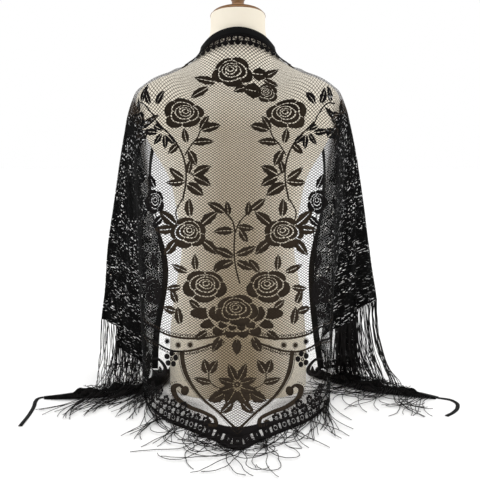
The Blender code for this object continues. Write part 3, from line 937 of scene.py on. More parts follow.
# Lines as out, down, and the width at points spread along them
BAND_UPPER = ((20, 565), (45, 572), (82, 578), (112, 580), (138, 578), (170, 568), (200, 556))
BAND_LOWER = ((26, 578), (52, 588), (90, 603), (122, 609), (150, 604), (176, 594), (204, 582))
BAND_DISCS = ((88, 591), (110, 595), (132, 592), (154, 586))
ARCH = ((104, 606), (100, 634), (86, 672), (64, 702), (32, 726), (0, 751))
ARCH_WIDTHS = (8.0, 8.5, 7, 6, 5.5, 5)
ARCH_OUTLINE = tuple((x + 6.5 if x else 0, y + (0 if x else 9)) for x, y in ARCH)
SCROLL = (
    (97, 692), (108, 683), (118, 692), (114, 716), (92, 731), (60, 735), (40, 743), (40, 757), (53, 760)
)
SCROLL_WIDTHS = (6, 9, 12.5, 13, 12, 10, 9, 8, 6)
SCROLL_KNOBS = ((97, 694, 9), (54, 758, 8))  # out, down, radius
SIDE_SCROLL = ((168, 642), (150, 636), (136, 648), (140, 668), (156, 676), (166, 668))
SIDE_SCROLL_WIDTHS = (3, 6, 8, 7, 5, 3)
ARCH_LEAVES = (
    # out, down, angle, length, width
    (2, 652, 62, 32, 15),
    (5, 658, 14, 32, 15),
    (6, 666, -22, 32, 17),
    (4, 672, -64, 34, 24),
    (24, 680, -40, 34, 22),
    (8, 696, -58, 34, 16),
)
GARDEN_ACROSS = (208, 560, 44)  # the first column of roses at the sides, their end and their step
GARDEN_DOWN = (186, 740, 62)

HEM_CELL = 17.0  # from one hole of the heavy edge to the next
CELL_LOW, CELL_HIGH = 10.5, 25.5  # above the hem
HOLE, TIP_HOLE = 4.9, 2.0  # radius
HEAVY_TIP = 54  # across, up to where the holes are small
FLOWER_ROWS = (38, 55, 72)  # above the hem
FLOWER_STEP = 18.0
BARE_FOLD = (166, 238)  # across, where no flower covers the net beside the right fold
BARE_EDGE = 526  # and the same on the right edge

SCALLOP = 11.0  # from one scallop of the neck trim to the next
TRIM_LIFT = 0.9  # of the neck trim over the net
LINE_PART = 5  # columns of a line that take their finish together
BUNCHED = 2.6  # cloth gathered more than this times shows no flower

KNITS = ("close knit", "side knit", "border knit")  # the finishes that a plate chooses from
CLOSE_KNIT, SIDE_KNIT, BORDER_KNIT = range(3)
SIDE_START = 172  # across, where the gathered sides start
# the brown of the close knit near the form is partly painted warm light from the cream form
BLACK_START = 122  # and where the knitting turns blacker


def knit_at(across, choice=CLOSE_KNIT):
    """The finish of a plate: brown near the form, partly painted warm light from it; blacker away
    from it, and with painted glints in the gathered sides.
    """
    if abs(across) > SIDE_START:
        return SIDE_KNIT
    return BORDER_KNIT if abs(across) > BLACK_START else choice


def axis_of_pattern(down):
    return -6 + 6 * down / HEM


def lay_shapes(plates, cloth, shapes, centre, angle=0.0, sign=1, lift=0.0, choice=CLOSE_KNIT):
    """Lays shapes on cloth about a place, turned by angle from outwards to up. sign -1 mirrors
    them."""
    turn = math.radians(angle)
    matrix = np.array(((math.cos(turn), -math.sin(turn)), (-math.sin(turn), -math.cos(turn))))
    matrix = cloth.turn(centre) @ np.diag((sign, 1)) @ matrix
    if np.abs(matrix).max() > BUNCHED:
        return
    for grid, closed in shapes:
        plates.lay(cloth, grid @ matrix.T + centre, closed, knit_at(centre[0], choice), lift)


def lay_line(plates, points, width, sign, count=14, shift=True):
    """Lays a line of knitting. shift takes its points from the pattern's middle line."""
    grid = stem(points, width, count) * (sign, 1)
    if shift:
        grid[..., 0] += axis_of_pattern(grid[..., 1])
    for start in range(0, count - 1, LINE_PART):
        part = grid[:, start : start + LINE_PART + 1]
        plates.lay(CLOTH, part, False, knit_at(part[..., 0].mean()))


def lay_beads(plates, points, offset, sign, pitch, radius):
    """A row of knots beside a line."""
    points = np.asarray(points, float)
    run = run_of(points)
    line = smooth(run, points, np.arange(0, run[-1], pitch))
    line = line + left_of(line) * offset
    for x, y in line * (sign, 1):
        plates.lay(CLOTH, disc(radius, 4)[0] + (x + axis_of_pattern(y), y))


def spot(sign, out, down):
    """The place at a distance out from the pattern's middle line."""
    return axis_of_pattern(down) + sign * out, down


def back_flowers(plates):
    """The mirrored garden of the back panel, from the nape to the arch."""
    for sign in (1, -1):
        for out, down, angle, length, width in BOTH_LEAVES:
            lay_shapes(plates, CLOTH, leaf(length, width, 0.14), spot(sign, out, down), angle, sign)
        for out, down, width, height, turn in BOTH_ROSES:
            turns = SMALL_ROSE_TURNS if width < 50 else ROSE_TURNS
            lay_shapes(plates, CLOTH, rose(width, height, turn, turns), spot(sign, out, down), 0, sign)
        for width, *points in BOTH_STEMS:
            lay_line(plates, points, width, sign)
    for x, down, angle, length, width in TOP_LEAVES + SPRIG_LEAVES:
        lay_shapes(plates, CLOTH, leaf(length, width), (x, down), angle)
    for width, *points in SPRIG_STEMS:
        lay_line(plates, points, width, 1, shift=False)
    for x, down, *size in TOP_ROSES:
        lay_shapes(plates, CLOTH, rose(*size), (x, down))


def big_rose(plates):
    """The large rose over the band: a full head on wide layered petals, and leaves under them."""
    x = axis_of_pattern(530)
    centre = (x, BIG_ROSE_DOWN)
    lay_shapes(plates, CLOTH, rose(*BIG_ROSE, 70), centre)
    for sign in (1, -1):
        lay_shapes(plates, CLOTH, skirt(*BIG_ROSE, BIG_PETALS), centre, 0, sign)
        for out, down, angle, length, width in BIG_LEAVES:
            lay_shapes(plates, CLOTH, leaf(length, width), (x + sign * out, down), angle, sign)


def arch_and_scrolls(plates):
    """The band with its discs, the pointed arch under it with its flower, and the scrolls."""
    x = axis_of_pattern(660)
    for sign in (1, -1):
        for points, side in ((BAND_UPPER, -1), (BAND_LOWER, 1)):
            lay_line(plates, points, 4.2, sign, 24)
            lay_beads(plates, points, side * 4.6, sign, 4.6, 1.5)
            lay_line(plates, np.add(points, (0, side * 7.0)), 1.0, sign, 24)
        for place in BAND_DISCS:
            lay_shapes(plates, CLOTH, [disc(4.6, 9), ring(5.6, 6.3, 14)], spot(sign, *place))
        lay_line(plates, ARCH, ARCH_WIDTHS, sign, 30)
        lay_line(plates, ARCH_OUTLINE, 1.0, sign, 30)
        lay_line(plates, SCROLL, SCROLL_WIDTHS, sign, 40)
        lay_beads(plates, SCROLL[1:7], -8.6, sign, 4.4, 1.3)
        for out, down, radius in SCROLL_KNOBS:
            lay_shapes(plates, CLOTH, [disc(radius, 9)], spot(sign, out, down))
        lay_line(plates, SIDE_SCROLL, SIDE_SCROLL_WIDTHS, sign, 22)
        lay_shapes(plates, CLOTH, flower(16), spot(sign, 124, 626))
        for out, down, angle, length, width in ARCH_LEAVES:
            lay_shapes(plates, CLOTH, leaf(length, width), (x + sign * out, down), angle, sign)
    lay_shapes(plates, CLOTH, [ring(2.2, 6.0, 12)], (x, 661), lift=0.3)


def back_garden(plates):
    back_flowers(plates)
    big_rose(plates)
    arch_and_scrolls(plates)


def side_garden(plates, generator, sign):
    """The same flowers in rows down one side, mostly hidden in the folds."""
    first, end, step = GARDEN_DOWN
    for column, across in enumerate(range(*GARDEN_ACROSS)):
        for down in range(first + 30 * (column % 2), end, step):
            x, y = sign * (across + generator.uniform(-6, 6)), down + generator.uniform(-7, 7)
            if (0 < x < 240 or x > 510) and down > 590:
                continue  # the net is bare beside the right fold and on the right edge
            size = generator.uniform(34, 46)
            bloom = rose(size, size * 0.86, generator.uniform(0, 360), SMALL_ROSE_TURNS, 6, 0.06)
            lay_shapes(plates, CLOTH, bloom, (x, y))
            for k in range(4):
                angle = 45 + 90 * k + generator.uniform(-25, 25)
                reach = size * 0.5
                foot_x = x + reach * math.cos(math.radians(angle))
                foot_y = y - reach * math.sin(math.radians(angle))
                length = generator.uniform(20, 30)
                if abs(foot_x) < 562 and 100 < foot_y < 770:
                    lay_shapes(plates, CLOTH, leaf(length, length * 0.5), (foot_x, foot_y), angle)


def hem_cell(radius):
    """A closed piece of the heavy edge with a round hole."""
    circle = circle_at(np.linspace(0, 2 * math.pi, 16, endpoint=False))
    half = (HEM_CELL / 2, (CELL_HIGH - CELL_LOW) / 2)
    square = circle / np.abs(circle).max(1, keepdims=True) * half
    return between(circle * radius, square) * (1, -1), True


def hem_border(plates, generator):
    """The heavy edge of both lower sides: a closed band, round holes with knots in them, and small
    flowers over it. Its holes are small at the tip."""
    stretch = 38
    for start in range(-EDGE, EDGE, stretch):
        along = np.linspace(start, start + stretch, 9)
        tip = 17 * np.clip(1 - np.abs(along) / 120, 0, 1)
        for low, high in ((0.6, CELL_LOW), (CELL_HIGH, CELL_HIGH + 3 + tip)):
            choice = knit_at(start + stretch / 2, BORDER_KNIT)
            plates.lay(CLOTH, level_strip(along, HEM - high, HEM - low), False, choice)
    middle = HEM - (CELL_LOW + CELL_HIGH) / 2
    for x in np.arange(-561, 562, HEM_CELL):
        hole = HOLE if abs(x) > HEAVY_TIP else TIP_HOLE
        shapes = [hem_cell(hole), disc(hole * 0.66, 8)]
        lay_shapes(plates, CLOTH, shapes, (x, middle), choice=BORDER_KNIT)
    for row, up in enumerate(FLOWER_ROWS):
        for x in np.arange(-560 + 9 * row, 561, FLOWER_STEP):
            bare = BARE_FOLD[0] < x < BARE_FOLD[1] or x > BARE_EDGE
            if abs(x) > HEAVY_TIP + 44 * row and not bare:
                place = (x + generator.uniform(-2, 2), HEM - up + generator.uniform(-2, 2))
                lay_shapes(plates, CLOTH, flower(10.0, 6, 0.22), place, choice=BORDER_KNIT)


def neck_scallops(plates):
    """The lace trim under the neck binding: a closed heading, a row of holes, and scallops."""
    for k in range(-12, 13):
        x = k * SCALLOP
        along = np.linspace(x - SCALLOP / 2, x + SCALLOP / 2, 5)
        depth = 1.1 - 0.3 * abs(k) / 12
        for high, low in ((0.8, 5.0), (11.8, 15.0)):
            strip = level_strip(along, high * depth, low * depth)
            plates.lay(CLOTH, strip, False, BORDER_KNIT, TRIM_LIFT)
        bar = [[(x + half, down * depth) for down in (4.6, 8.4, 12.2)] for half in (1.7, -1.7)]
        plates.lay(CLOTH, between(*np.array(bar)), False, BORDER_KNIT, TRIM_LIFT)
        for shape, place, lift in (
            (disc(1.5, 4), (x + SCALLOP / 2, 8.4 * depth), TRIM_LIFT),
            (disc(5.2, 9), (x, 15.4 * depth), TRIM_LIFT + 0.3),
        ):
            lay_shapes(plates, CLOTH, [shape], place, lift=lift, choice=BORDER_KNIT)


# ---------------------------------------------------------------- the lace pieces


def shoulder_at(across, down):
    """1 over the shoulders, where the net lies slanted and looks closer."""
    out = np.abs(across)
    return grow(out, 56, 82) * grow(out, 220, 190) * grow(down, 136, 92)


def sheer_at(across, down):
    """1 on the plain sheer ground under the band and outside the arch, 0 on the open net, and
    between them in the band and over the shoulders."""
    out = np.abs(across - axis_of_pattern(down))
    arch_out, arch_down = np.array(ARCH, float).T
    under_band = down > np.interp(out, *np.array(BAND_LOWER, float).T)
    past_arch = out > np.interp(down, arch_down, arch_out)
    in_band = (down > np.interp(out, *np.array(BAND_UPPER, float).T)) & ~under_band & (out > 22)
    ground = np.where(under_band & past_arch & (down > 600), 1.0, np.where(in_band, 0.8, 0.0))
    return np.maximum(ground * grow(out, 300, 240), 0.55 * shoulder_at(across, down))


def gathered_at(across, down):
    """1 where the hanging sides crowd the net together, 0 on the back, beside its right fold and on
    the lower right edge, and between them on the close ground of the heavy edge and over the
    shoulders."""
    out = np.abs(across)
    beside = grow(across, 168, 174) * grow(across, 236, 228) * grow(down, 640, 660) * grow(down, 772, 766)
    edge = grow(across, 526, 534) * grow(down, 600, 620)
    crowded = grow(out, 178, 186) * grow(down, 130, 180)
    close = 0.55 * grow(down, HEM - 84, HEM - 74) * grow(out, 30, 80)
    close = np.maximum(close, 0.34 * shoulder_at(across, down))
    return np.maximum(crowded * (1 - beside) * (1 - edge), close)


def dark_at(across, down):
    """1 where the net is plain black, not the brown that is partly painted warm light from the form:
    the sides and the hem, which lie in many layers.
    """
    side = grow(np.abs(across), 124, 148) * grow(down, 160, 220)
    return np.maximum(side, grow(down, 735, 755))


def quiet_at(across, _):
    """Near 1 where the gathered sides get no painted glints: along their fold to the back."""
    return grow(np.abs(across), 232, 208) * 0.9


def everywhere(across, _):
    return np.ones_like(across)


GROUNDS = {"sheer": sheer_at, "gathered": gathered_at, "dark": dark_at, "quiet": quiet_at}
END_GROUNDS = {"gathered": everywhere, "dark": everywhere, "quiet": everywhere}


def net_sheet(name, cloth, rows, columns, grounds):
    """A closed sheet of net on chosen rows and columns of a cloth's points. grounds read an
    attribute at its places."""
    chosen = np.ix_(rows, columns)
    places = np.stack(np.meshgrid(cloth.across[columns], cloth.down[rows]), -1)
    plates = Plates(sizes().net_thickness / MM)
    plates.add(cloth.points[chosen], cloth.normals[chosen], places)
    values = {
        key: np.tile(read(places[..., 0], places[..., 1]).ravel(), 2) for key, read in grounds.items()
    }
    return plates.build(name, [finish_of("net")], "lace", values)


def picked(count, stride):
    """Every stride-th number below count, and the last."""
    numbers = list(range(0, count, stride))
    return numbers if numbers[-1] == count - 1 else numbers + [count - 1]


def end_frame(side, count):
    """The ribbon's route on the floor, the way to its lace, the lace's width, and the run."""
    table = np.array(END_ROUTE[side], float)
    run = run_of(table[:, :2])
    rows = smooth(run, table, np.linspace(0, run[-1], count))
    flip = (SIDES[side], 1)
    route, width = rows[:, :2], rows[:, 2]
    return route * flip, -left_of(route) * flip, width, np.linspace(0, run[-1], count)


def end_cloth(side):
    """A narrow end that lies on the floor in soft ridges."""
    route, toward, width, run = end_frame(side, 181)
    steps = np.linspace(0, 1, 41)[:, None]
    plan = route + toward * (RIBBON_WIDTH / 2 - 1 + steps * (width + 1))[..., None]
    wave = np.sin(steps * 2.5 * math.pi + 0.5 * np.sin(run / 31)) ** 2
    creases = 0.75 + 0.35 * np.sin(run / 11 + 3 * steps) + 0.15 * np.sin(run / 4.3 - 9 * steps)
    rumple = END_RUMPLE * wave * creases * np.clip(width / 40, 0, 1)
    points = np.concatenate([plan, (LACE_HEIGHT + rumple)[..., None]], axis=2)
    down = steps[:, 0] * END_DEPTH
    if side == "left":
        return Cloth(-run[::-1], down, points[:, ::-1])
    return Cloth(run, down, points)


def floor_ribbon(name, near, far, wave):
    """A ribbon that lies on the floor between two lines of x, y points, in waves of a height."""
    thickness = sizes().ribbon_thickness / MM
    steps = np.linspace(0, 1, RIBBON_ROWS)[:, None]
    flat = near + (far - near) * steps[..., None]
    run = run_of(flat[RIBBON_ROWS // 2])
    crown = wave * (1 + np.sin(run / 17)) * (0.4 + np.sin(steps * math.pi)) / 2
    points = np.concatenate([flat, (thickness / 2 + RIBBON_GAP + crown)[..., None]], axis=2)
    normals = np.zeros_like(points)
    normals[..., 2] = 1
    places = np.stack(np.broadcast_arrays(run[None, :], steps * np.linalg.norm(far[0] - near[0])), -1)
    return ribbon(name, points, normals, places)


def ribbon(name, *grids):
    """A piece of ribbon on grids of points, normals and places."""
    plates = Plates(sizes().ribbon_thickness / MM)
    plates.add(*grids)
    return plates.build(name, [finish_of("satin ribbon")], "ribbon")


def bound_strip(side):
    """The binding from the nape along one side's top edge to the floor: points, normals, places."""
    sign = SIDES[side]
    neck = [(sign * x, 0.0) for x in np.arange(0, EDGE, 3.0)]
    front = [(sign * EDGE, down) for down in np.arange(0, HEM + 1, 6.0)]
    seam, out = CLOTH.at(np.array(neck + front))
    along = unit(np.gradient(seam, axis=0))
    away = unit(np.cross(out, along)) * sign
    steps = np.linspace(0, 1, RIBBON_ROWS)[:, None, None]
    crown = 0.7 * np.sin(steps * math.pi)
    strip = clear_of_form(seam + away * (steps * (RIBBON_WIDTH + 1) - 1) + out * crown)
    strip[..., 2] = np.maximum(strip[..., 2], 1.2)
    places = np.stack(np.broadcast_arrays(run_of(seam)[None, :], steps[..., 0] * RIBBON_WIDTH), -1)
    return strip, np.broadcast_to(out, strip.shape), places


# ---------------------------------------------------------------- the fringe


def clumped(count, generator, size, spread):
    """One random number for each bunch of about size threads, and its share for each thread."""
    bunches = generator.normal(0, spread, count // size + 2)
    return bunches[(np.arange(count) + generator.integers(0, size)) // size]


def strip_line(side, x):
    """The y of the narrow end's ribbon on the floor, at a distance x from the form's middle."""
    route = np.array(END_ROUTE[side], float)[1:]
    return np.interp(np.abs(x), route[:, 0], route[:, 1])


def hanging_paths(starts, ends, generator):
    """Wavy threads from a hem down to their ends: they hang straight, and swing out to the ends."""
    count, points = len(starts), 14
    t = np.linspace(0, 1, points)[:, None]
    fall = (starts[:, 2] - ends[:, 2])[:, None, None] * (0, 0, 1.0)
    first, second = starts[:, None] - fall * 0.74, ends[:, None] + fall * 0.12
    first = first + generator.normal(0, 1, (count, 1, 3)) * (10, 7, 0)
    paths = (
        (1 - t) ** 3 * starts[:, None] + 3 * t * (1 - t) ** 2 * first
        + 3 * t**2 * (1 - t) * second + t**3 * ends[:, None]
    )
    turn = generator.uniform(0, 2 * math.pi, (2, count, 1))
    pace = generator.uniform(9, 17, (2, count, 1))
    size = generator.uniform(0.8, 3.0, (2, count, 1))
    wave = np.sin(turn + pace * t[:, 0]) * np.sin(math.pi * t[:, 0]) * size
    paths[..., :2] += wave.transpose(1, 2, 0)
    return paths


def trail(paths, side, generator):
    """Adds four points to each path, along the narrow end that its foot lies on."""
    foot, tails = paths[:, -1], []
    x = np.abs(foot[:, 0])
    slope = (strip_line(side, x + 4) - strip_line(side, x)) / 4
    along = unit(np.stack([np.sign(foot[:, 0]), slope, 0 * slope], 1))
    reach = generator.uniform(0.1, 1, len(foot)) * TRAIL
    stray = generator.normal(0, 2.5, (4, len(foot), 3)) * (1, 1.4, 0.9)
    for k in range(1, 5):
        point = foot + along * (reach * k / 4)[:, None] + stray[k - 1]
        point[:, 2] = np.clip(point[:, 2], 3, 16)
        tails.append(point)
    return np.concatenate([paths, np.stack(tails, 1)], 1)


def lying_paths(starts, heading, length, generator, size, turn, curl):
    """Threads that drop to the floor and lie there in bunches: turn is how far a bunch strays from
    heading, and curl is how much it bends on its way, in radians."""
    count, steps = len(starts), 17
    bunch = (np.arange(count) + generator.integers(0, size)) // size
    angle = np.arctan2(heading[:, 1], heading[:, 0]) + generator.normal(0, turn, bunch[-1] + 1)[bunch]
    ahead = starts[:, :2] + circle_at(angle) * length[:, None] * 1.1
    members = np.bincount(bunch)
    aim = np.stack([np.bincount(bunch, ahead[:, k]) / np.maximum(members, 1) for k in (0, 1)], 1)[bunch]
    toward = ahead + 0.75 * (aim - ahead) - starts[:, :2]
    angle = np.arctan2(toward[:, 1], toward[:, 0]) + generator.normal(0, 0.04 + 0.2 * turn, count)
    bend = generator.normal(0, curl, bunch[-1] + 1)[bunch] + generator.normal(0, curl * 0.35, count)
    late = generator.normal(0, curl * 1.2, count)
    rest = generator.uniform(0.9, 4.5, count)
    arch = generator.uniform(0, 5, count)
    limit = THREAD_BACK + generator.uniform(0, 22, count)
    above = np.maximum(starts[:, 2] - rest, 0)
    place, path = starts.copy(), [starts.copy()]
    for k in range(1, steps + 1):
        part = k / steps
        angle = angle + (bend + late * part) / steps + generator.normal(0, 0.04 + 0.03 * curl, count)
        place[:, :2] += circle_at(angle) * (length / steps)[:, None]
        over = np.maximum(limit - place[:, 1], 0)
        slowed = place[:, 1] + over - THREAD_SPARE * (1 - np.exp(-over / THREAD_SPARE))
        place[:, 1] = np.minimum(slowed, THREAD_FRONT)
        place[:, 2] = rest + above * (1 - part) ** 4 + arch * math.sin(math.pi * part)
        path.append(place.copy())
    return np.stack(path, 1)


def build_threads(name, paths, radius, finish):
    """Three-sided threads along paths, an array of threads, points, x y z."""
    count, points = paths.shape[:2]
    along = unit(np.gradient(paths, axis=1))
    side = unit(np.cross(along, np.array((0.31, 0.17, 0.93))))
    up = np.cross(side, along)
    thick = radius * np.linspace(1.0, 0.75, points)[None, :, None, None]
    turns = np.arange(3) * 2 * math.pi / 3
    around = side[:, :, None] * np.cos(turns)[:, None] + up[:, :, None] * np.sin(turns)[:, None]
    rings = paths[:, :, None] + around * thick
    index = np.arange(count * points * 3).reshape(count, points, 3)
    low, high = index[:, :-1], index[:, 1:]
    sides = np.stack([low, high, np.roll(high, -1, 2), np.roll(low, -1, 2)], -1).reshape(-1, 4)
    caps = np.concatenate([index[:, 0], index[:, -1, ::-1]])
    lengths = np.linalg.norm(np.diff(paths, axis=1), axis=2).cumsum(1)
    run = np.concatenate([np.zeros((count, 1)), lengths], 1)
    u = np.broadcast_to(np.arange(3) / 3 / MM, rings.shape[:3])
    v = np.broadcast_to(run[..., None], rings.shape[:3])
    uvs = np.stack([u, v], -1).reshape(-1, 2)
    return made(name, rings.reshape(-1, 3), sides.tolist() + caps.tolist(), [finish], uvs)


def hem_line(cloth, first, last, spacing):
    """Points on a hem between two across values, spaced evenly on the cloth, and the way that it
    points down."""
    fine = np.linspace(first, last, 600)
    line = cloth.at(np.stack([fine, 0 * fine + cloth.down[-1]], 1))[0]
    run = run_of(line)
    across = np.interp(np.arange(spacing / 2, run[-1], spacing), run, fine)
    places = np.stack([across, 0 * across + cloth.down[-1]], 1)
    starts, above = cloth.at(places)[0], cloth.at(places - (0, 8))[0]
    return starts, unit(starts - above)


# Across, where the fringe of a side ends and that of its front starts, and where that ends
SIDE_END, FRONT_END = 347, 569
HIGH_HEM = 62  # threads from higher than this hang down to the narrow end
SIDE_FRINGE = {
    # side: across where it starts, how far its threads swing out, their spacing's share
    "left": (186, -3, 0.85),
    "right": (238, 38, 0.42),
}
LOW_THREADS = {
    # part: the way that those of a low hem lie, and their length's share
    "side": (-0.9, 0.72),
    "front": (0.8, 0.4),
}
BACK_FRINGE = {"left": 186, "right": 206}  # across, where it ends
BACK_ZONES = (
    # near, far, spacing's share, length's share, threads in a bunch, turn, curl
    (0, 70, 0.8, 0.92, 3, 0.6, 4.6),
    (70, 135, 1.05, 0.62, 4, 0.36, 2.2),
    (135, None, 0.8, 0.68, 8, 0.22, 0.6),
)
END_FRINGE = {
    # side: how its threads lean, the length of its point that has none, curl
    "left": (-0.75, 66, 0.3),
    "right": (0.05, 8, 2.4),
}


# ---------------------------------------------------------------- the form


def clear_selection():
    for thing in bpy.context.selected_objects:
        thing.select_set(False)


def grow_rings(name, rings, sides):
    """A closed round piece from rings of (z, half_x, half_y, middle_y), one extrude for each ring."""
    clear_selection()
    z, half_x, half_y, middle = rings[0]
    bpy.ops.mesh.primitive_circle_add(
        vertices=sides, radius=1, fill_type="NGON", location=(0, middle * MM, z * MM)
    )
    piece = bpy.context.object
    piece.name = piece.data.name = name
    bpy.ops.object.mode_set(mode="EDIT")
    bpy.ops.mesh.select_mode(type="FACE")
    bpy.ops.mesh.select_all(action="SELECT")
    bpy.ops.transform.resize(value=(half_x * MM, half_y * MM, 1), center_override=(0, middle * MM, z * MM))
    for (z0, x0, y0, m0), (z1, x1, y1, m1) in zip(rings, rings[1:]):
        move = (0, (m1 - m0) * MM, (z1 - z0) * MM)
        bpy.ops.mesh.extrude_region_move(TRANSFORM_OT_translate={"value": move})
        centre = (0, m1 * MM, z1 * MM)
        bpy.ops.transform.resize(value=(x1 / x0, y1 / y0, 1), center_override=centre)
    bpy.ops.mesh.select_all(action="SELECT")
    bpy.ops.mesh.normals_make_consistent(inside=False)
    bpy.ops.object.mode_set(mode="OBJECT")
    bpy.ops.object.transform_apply(location=True, rotation=True, scale=True)
    return piece


def dressed(piece, finish, slot, *nodes):
    """Gives a finished piece its material, its body and the CAD nodes that it stands for; slot is not
    used.
    """
    piece.data.materials.clear()
    piece.data.materials.append(finish)
    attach(piece, BODY)
    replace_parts(piece, *nodes)
    return piece


def turned_piece(name, profile, base, node):
    """A turned wooden piece on the sloping neck top, standing base above it."""
    rings = [(z, max(radius, 0.2), max(radius, 0.2), 0) for radius, z in profile[1:]]
    piece = grow_rings(name, rings, 72)
    middle = float(form_section(np.array(NECK_TOP))[2])
    slope = math.radians(NECK_SLOPE)
    place = Matrix.Translation((0, middle * MM, (NECK_TOP - middle * math.tan(slope) + SEAM_GAP) * MM))
    piece.data.transform(place @ Matrix.Rotation(-slope, 4, "X") @ Matrix.Translation((0, 0, base * MM)))
    piece.data.polygons.foreach_set("use_smooth", np.full(len(piece.data.polygons), True))
    return dressed(piece, finish_of("varnished wood"), "wood", node)


# ---------------------------------------------------------------- the add-on's parts


def length_property(name, description, default):
    return bpy.props.FloatProperty(name=name, description=description, default=default, unit="LENGTH")


def colour_property(name, description, default):
    return bpy.props.FloatVectorProperty(
        name=name, description=description, default=default, subtype="COLOR", size=3, min=0, max=1
    )


class ShawlSizes(bpy.types.PropertyGroup):
    """Sizes of the shawl's threads and ribbons"""

    net_width: length_property("Net width", "Width of one hole of the net", 0.0072)
    net_height: length_property("Net height", "Height of one hole of the net", 0.0052)
    net_thickness: length_property("Net thickness", "Thickness of the open net", 0.0005)
    knit_thickness: length_property("Knit thickness", "Thickness of the close knitting", 0.0006)
    ribbon_thickness: length_property("Ribbon thickness", "Thickness of the ribbon", 0.0008)
    fringe_length: length_property("Fringe length", "Length of a fringe thread", 0.165)
    fringe_spacing: length_property("Fringe spacing", "From one thread to the next", 0.0064)
    thread_radius: length_property("Thread radius", "Half the width of a fringe thread", 0.0009)
    seed: bpy.props.IntProperty(
        name="Seed", description="Chooses how the flowers scatter and the fringe falls", default=7, min=0
    )


class ShawlColours(bpy.types.PropertyGroup):
    """Colours of the shawl, the form and the stage"""

    # net and knit are brown-black: the brown is partly painted warm light from the cream form
    net: colour_property("Net", "Thread of the open net", (0.026, 0.018, 0.012))
    knit: colour_property("Knit", "Thread of the close knitting", (0.026, 0.019, 0.013))
    ribbon: colour_property("Ribbon", "Satin ribbon", (0.005, 0.005, 0.005))
    fringe: colour_property("Fringe", "Fringe thread", (0.012, 0.011, 0.011))
    cover: colour_property("Cover", "Cotton cover of the form", (0.92, 0.855, 0.73))
    wood: colour_property("Wood", "Neck cap and finial", (0.23, 0.105, 0.027))
    floor: colour_property("Floor", "Table top", (0.94, 0.94, 0.94))


def finish_of(name):
    """The material of this name, made the first time that a piece asks for it."""
    colours = bpy.context.scene.shawl_colours
    makers = {
        "net": lambda: net_finish(tuple(colours.net), sizes().net_width, sizes().net_height),
        "close knit": lambda: knit_finish(name, tuple(colours.knit)),
        "side knit": lambda: knit_finish(name, GATHERED_BLACK, True),
        "border knit": lambda: knit_finish(name, BORDER_BLACK),
        "satin ribbon": lambda: ribbon_finish(tuple(colours.ribbon)),
        "fringe thread": lambda: thread_finish(tuple(colours.fringe)),
        "woven cover": lambda: cover_finish(tuple(colours.cover)),
        "varnished wood": lambda: wood_finish(tuple(colours.wood)),
    }
    return bpy.data.materials.get(name) or makers[name]()


def knitting(name, lay, *details, finishes=KNITS):
    """A piece of close knitting, from a function that lays its plates."""
    plates = Plates(sizes().knit_thickness / MM)
    lay(plates, *details)
    return plates.build(name, [finish_of(finish) for finish in finishes], "lace")


def sizes():
    return bpy.context.scene.shawl_sizes


class SHAWL_OT_form(bpy.types.Operator):
    """Build the padded form under its cotton cover"""

    bl_idname = "shawl.form"
    bl_label = "Form"

    def execute(self, context):
        heights = np.concatenate([(0.0, 1.2, 4.0), np.arange(10, 726, 8), (729.0,)])
        rings = []
        for z in heights:
            half_x, half_y, middle = form_section(z)
            tuck = {0.0: 0.985, 1.2: 0.994}.get(float(z), 1.0)  # softens the bottom edge
            rings.append((z, half_x * tuck, half_y * tuck, middle))
        z, half_x, half_y, middle = rings[-1]
        rings.append((NECK_TOP, half_x, half_y, middle))
        piece = grow_rings("padded_body", rings, 96)
        self.square_up(piece, rings)
        clear_selection()
        piece.select_set(True)
        context.view_layer.objects.active = piece
        bpy.ops.object.shade_smooth_by_angle(angle=math.radians(50))
        dressed(piece, finish_of("woven cover"), "cover", "form_body")
        return {"FINISHED"}

    def square_up(self, piece, rings):
        """Gives round rings the form's squarer section, and slopes the neck top."""
        middles = {round(z * 10): (half_x, half_y, middle) for z, half_x, half_y, middle in rings}
        for vertex in piece.data.vertices:
            x, y, z = np.array(vertex.co) / MM
            half_x, half_y, middle = middles[round(z * 10)]
            cos, sin = x / half_x, (y - middle) / half_y
            reach = (abs(cos) ** FORM_POWER + abs(sin) ** FORM_POWER) ** (1 / FORM_POWER)
            if reach > 1e-6:
                x, y = x / reach, middle + (y - middle) / reach
            if z > NECK_TOP - 1:
                z = NECK_TOP - y * math.tan(math.radians(NECK_SLOPE))
            vertex.co = (x * MM, y * MM, z * MM)


class SHAWL_OT_wood(bpy.types.Operator):
    """Turn the wooden neck cap and its finial"""

    bl_idname = "shawl.wood"
    bl_label = "Neck cap and finial"

    def execute(self, context):
        turned_piece("neck_cap", CAP_PROFILE, 0, "form_cap")
        turned_piece("finial", FINIAL_PROFILE, FINIAL_BASE, "form_finial")
        return {"FINISHED"}


class SHAWL_OT_net(bpy.types.Operator):
    """Build the open net of the whole triangle, and of its narrow ends on the floor"""

    bl_idname = "shawl.net"
    bl_label = "Net"

    def execute(self, context):
        # Every second column of the net of points, and on the smoother back every sixth.
        middle = len(CLOTH.across) // 2
        back = range(middle - 5 * STRAND_STEPS + 1, middle + 5 * STRAND_STEPS)
        skipped = {column for column in back if (column - middle) % 6}
        columns = sorted(set(picked(len(CLOTH.across), 2)) - skipped)
        panel = net_sheet("lace_panel", CLOTH, picked(len(CLOTH.down), 4), columns, GROUNDS)
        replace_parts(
            panel, "lace_back", "lace_left_side", "lace_right_side", "lace_left_front", "lace_right_front"
        )
        for side in SIDES:
            cloth = end_cloth(side)
            rows, columns = picked(len(cloth.down), 2), picked(len(cloth.across), 3)
            end = net_sheet(f"lace_end_{side}", cloth, rows, columns, END_GROUNDS)
            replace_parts(end, f"lace_{side}_end")
        return {"FINISHED"}


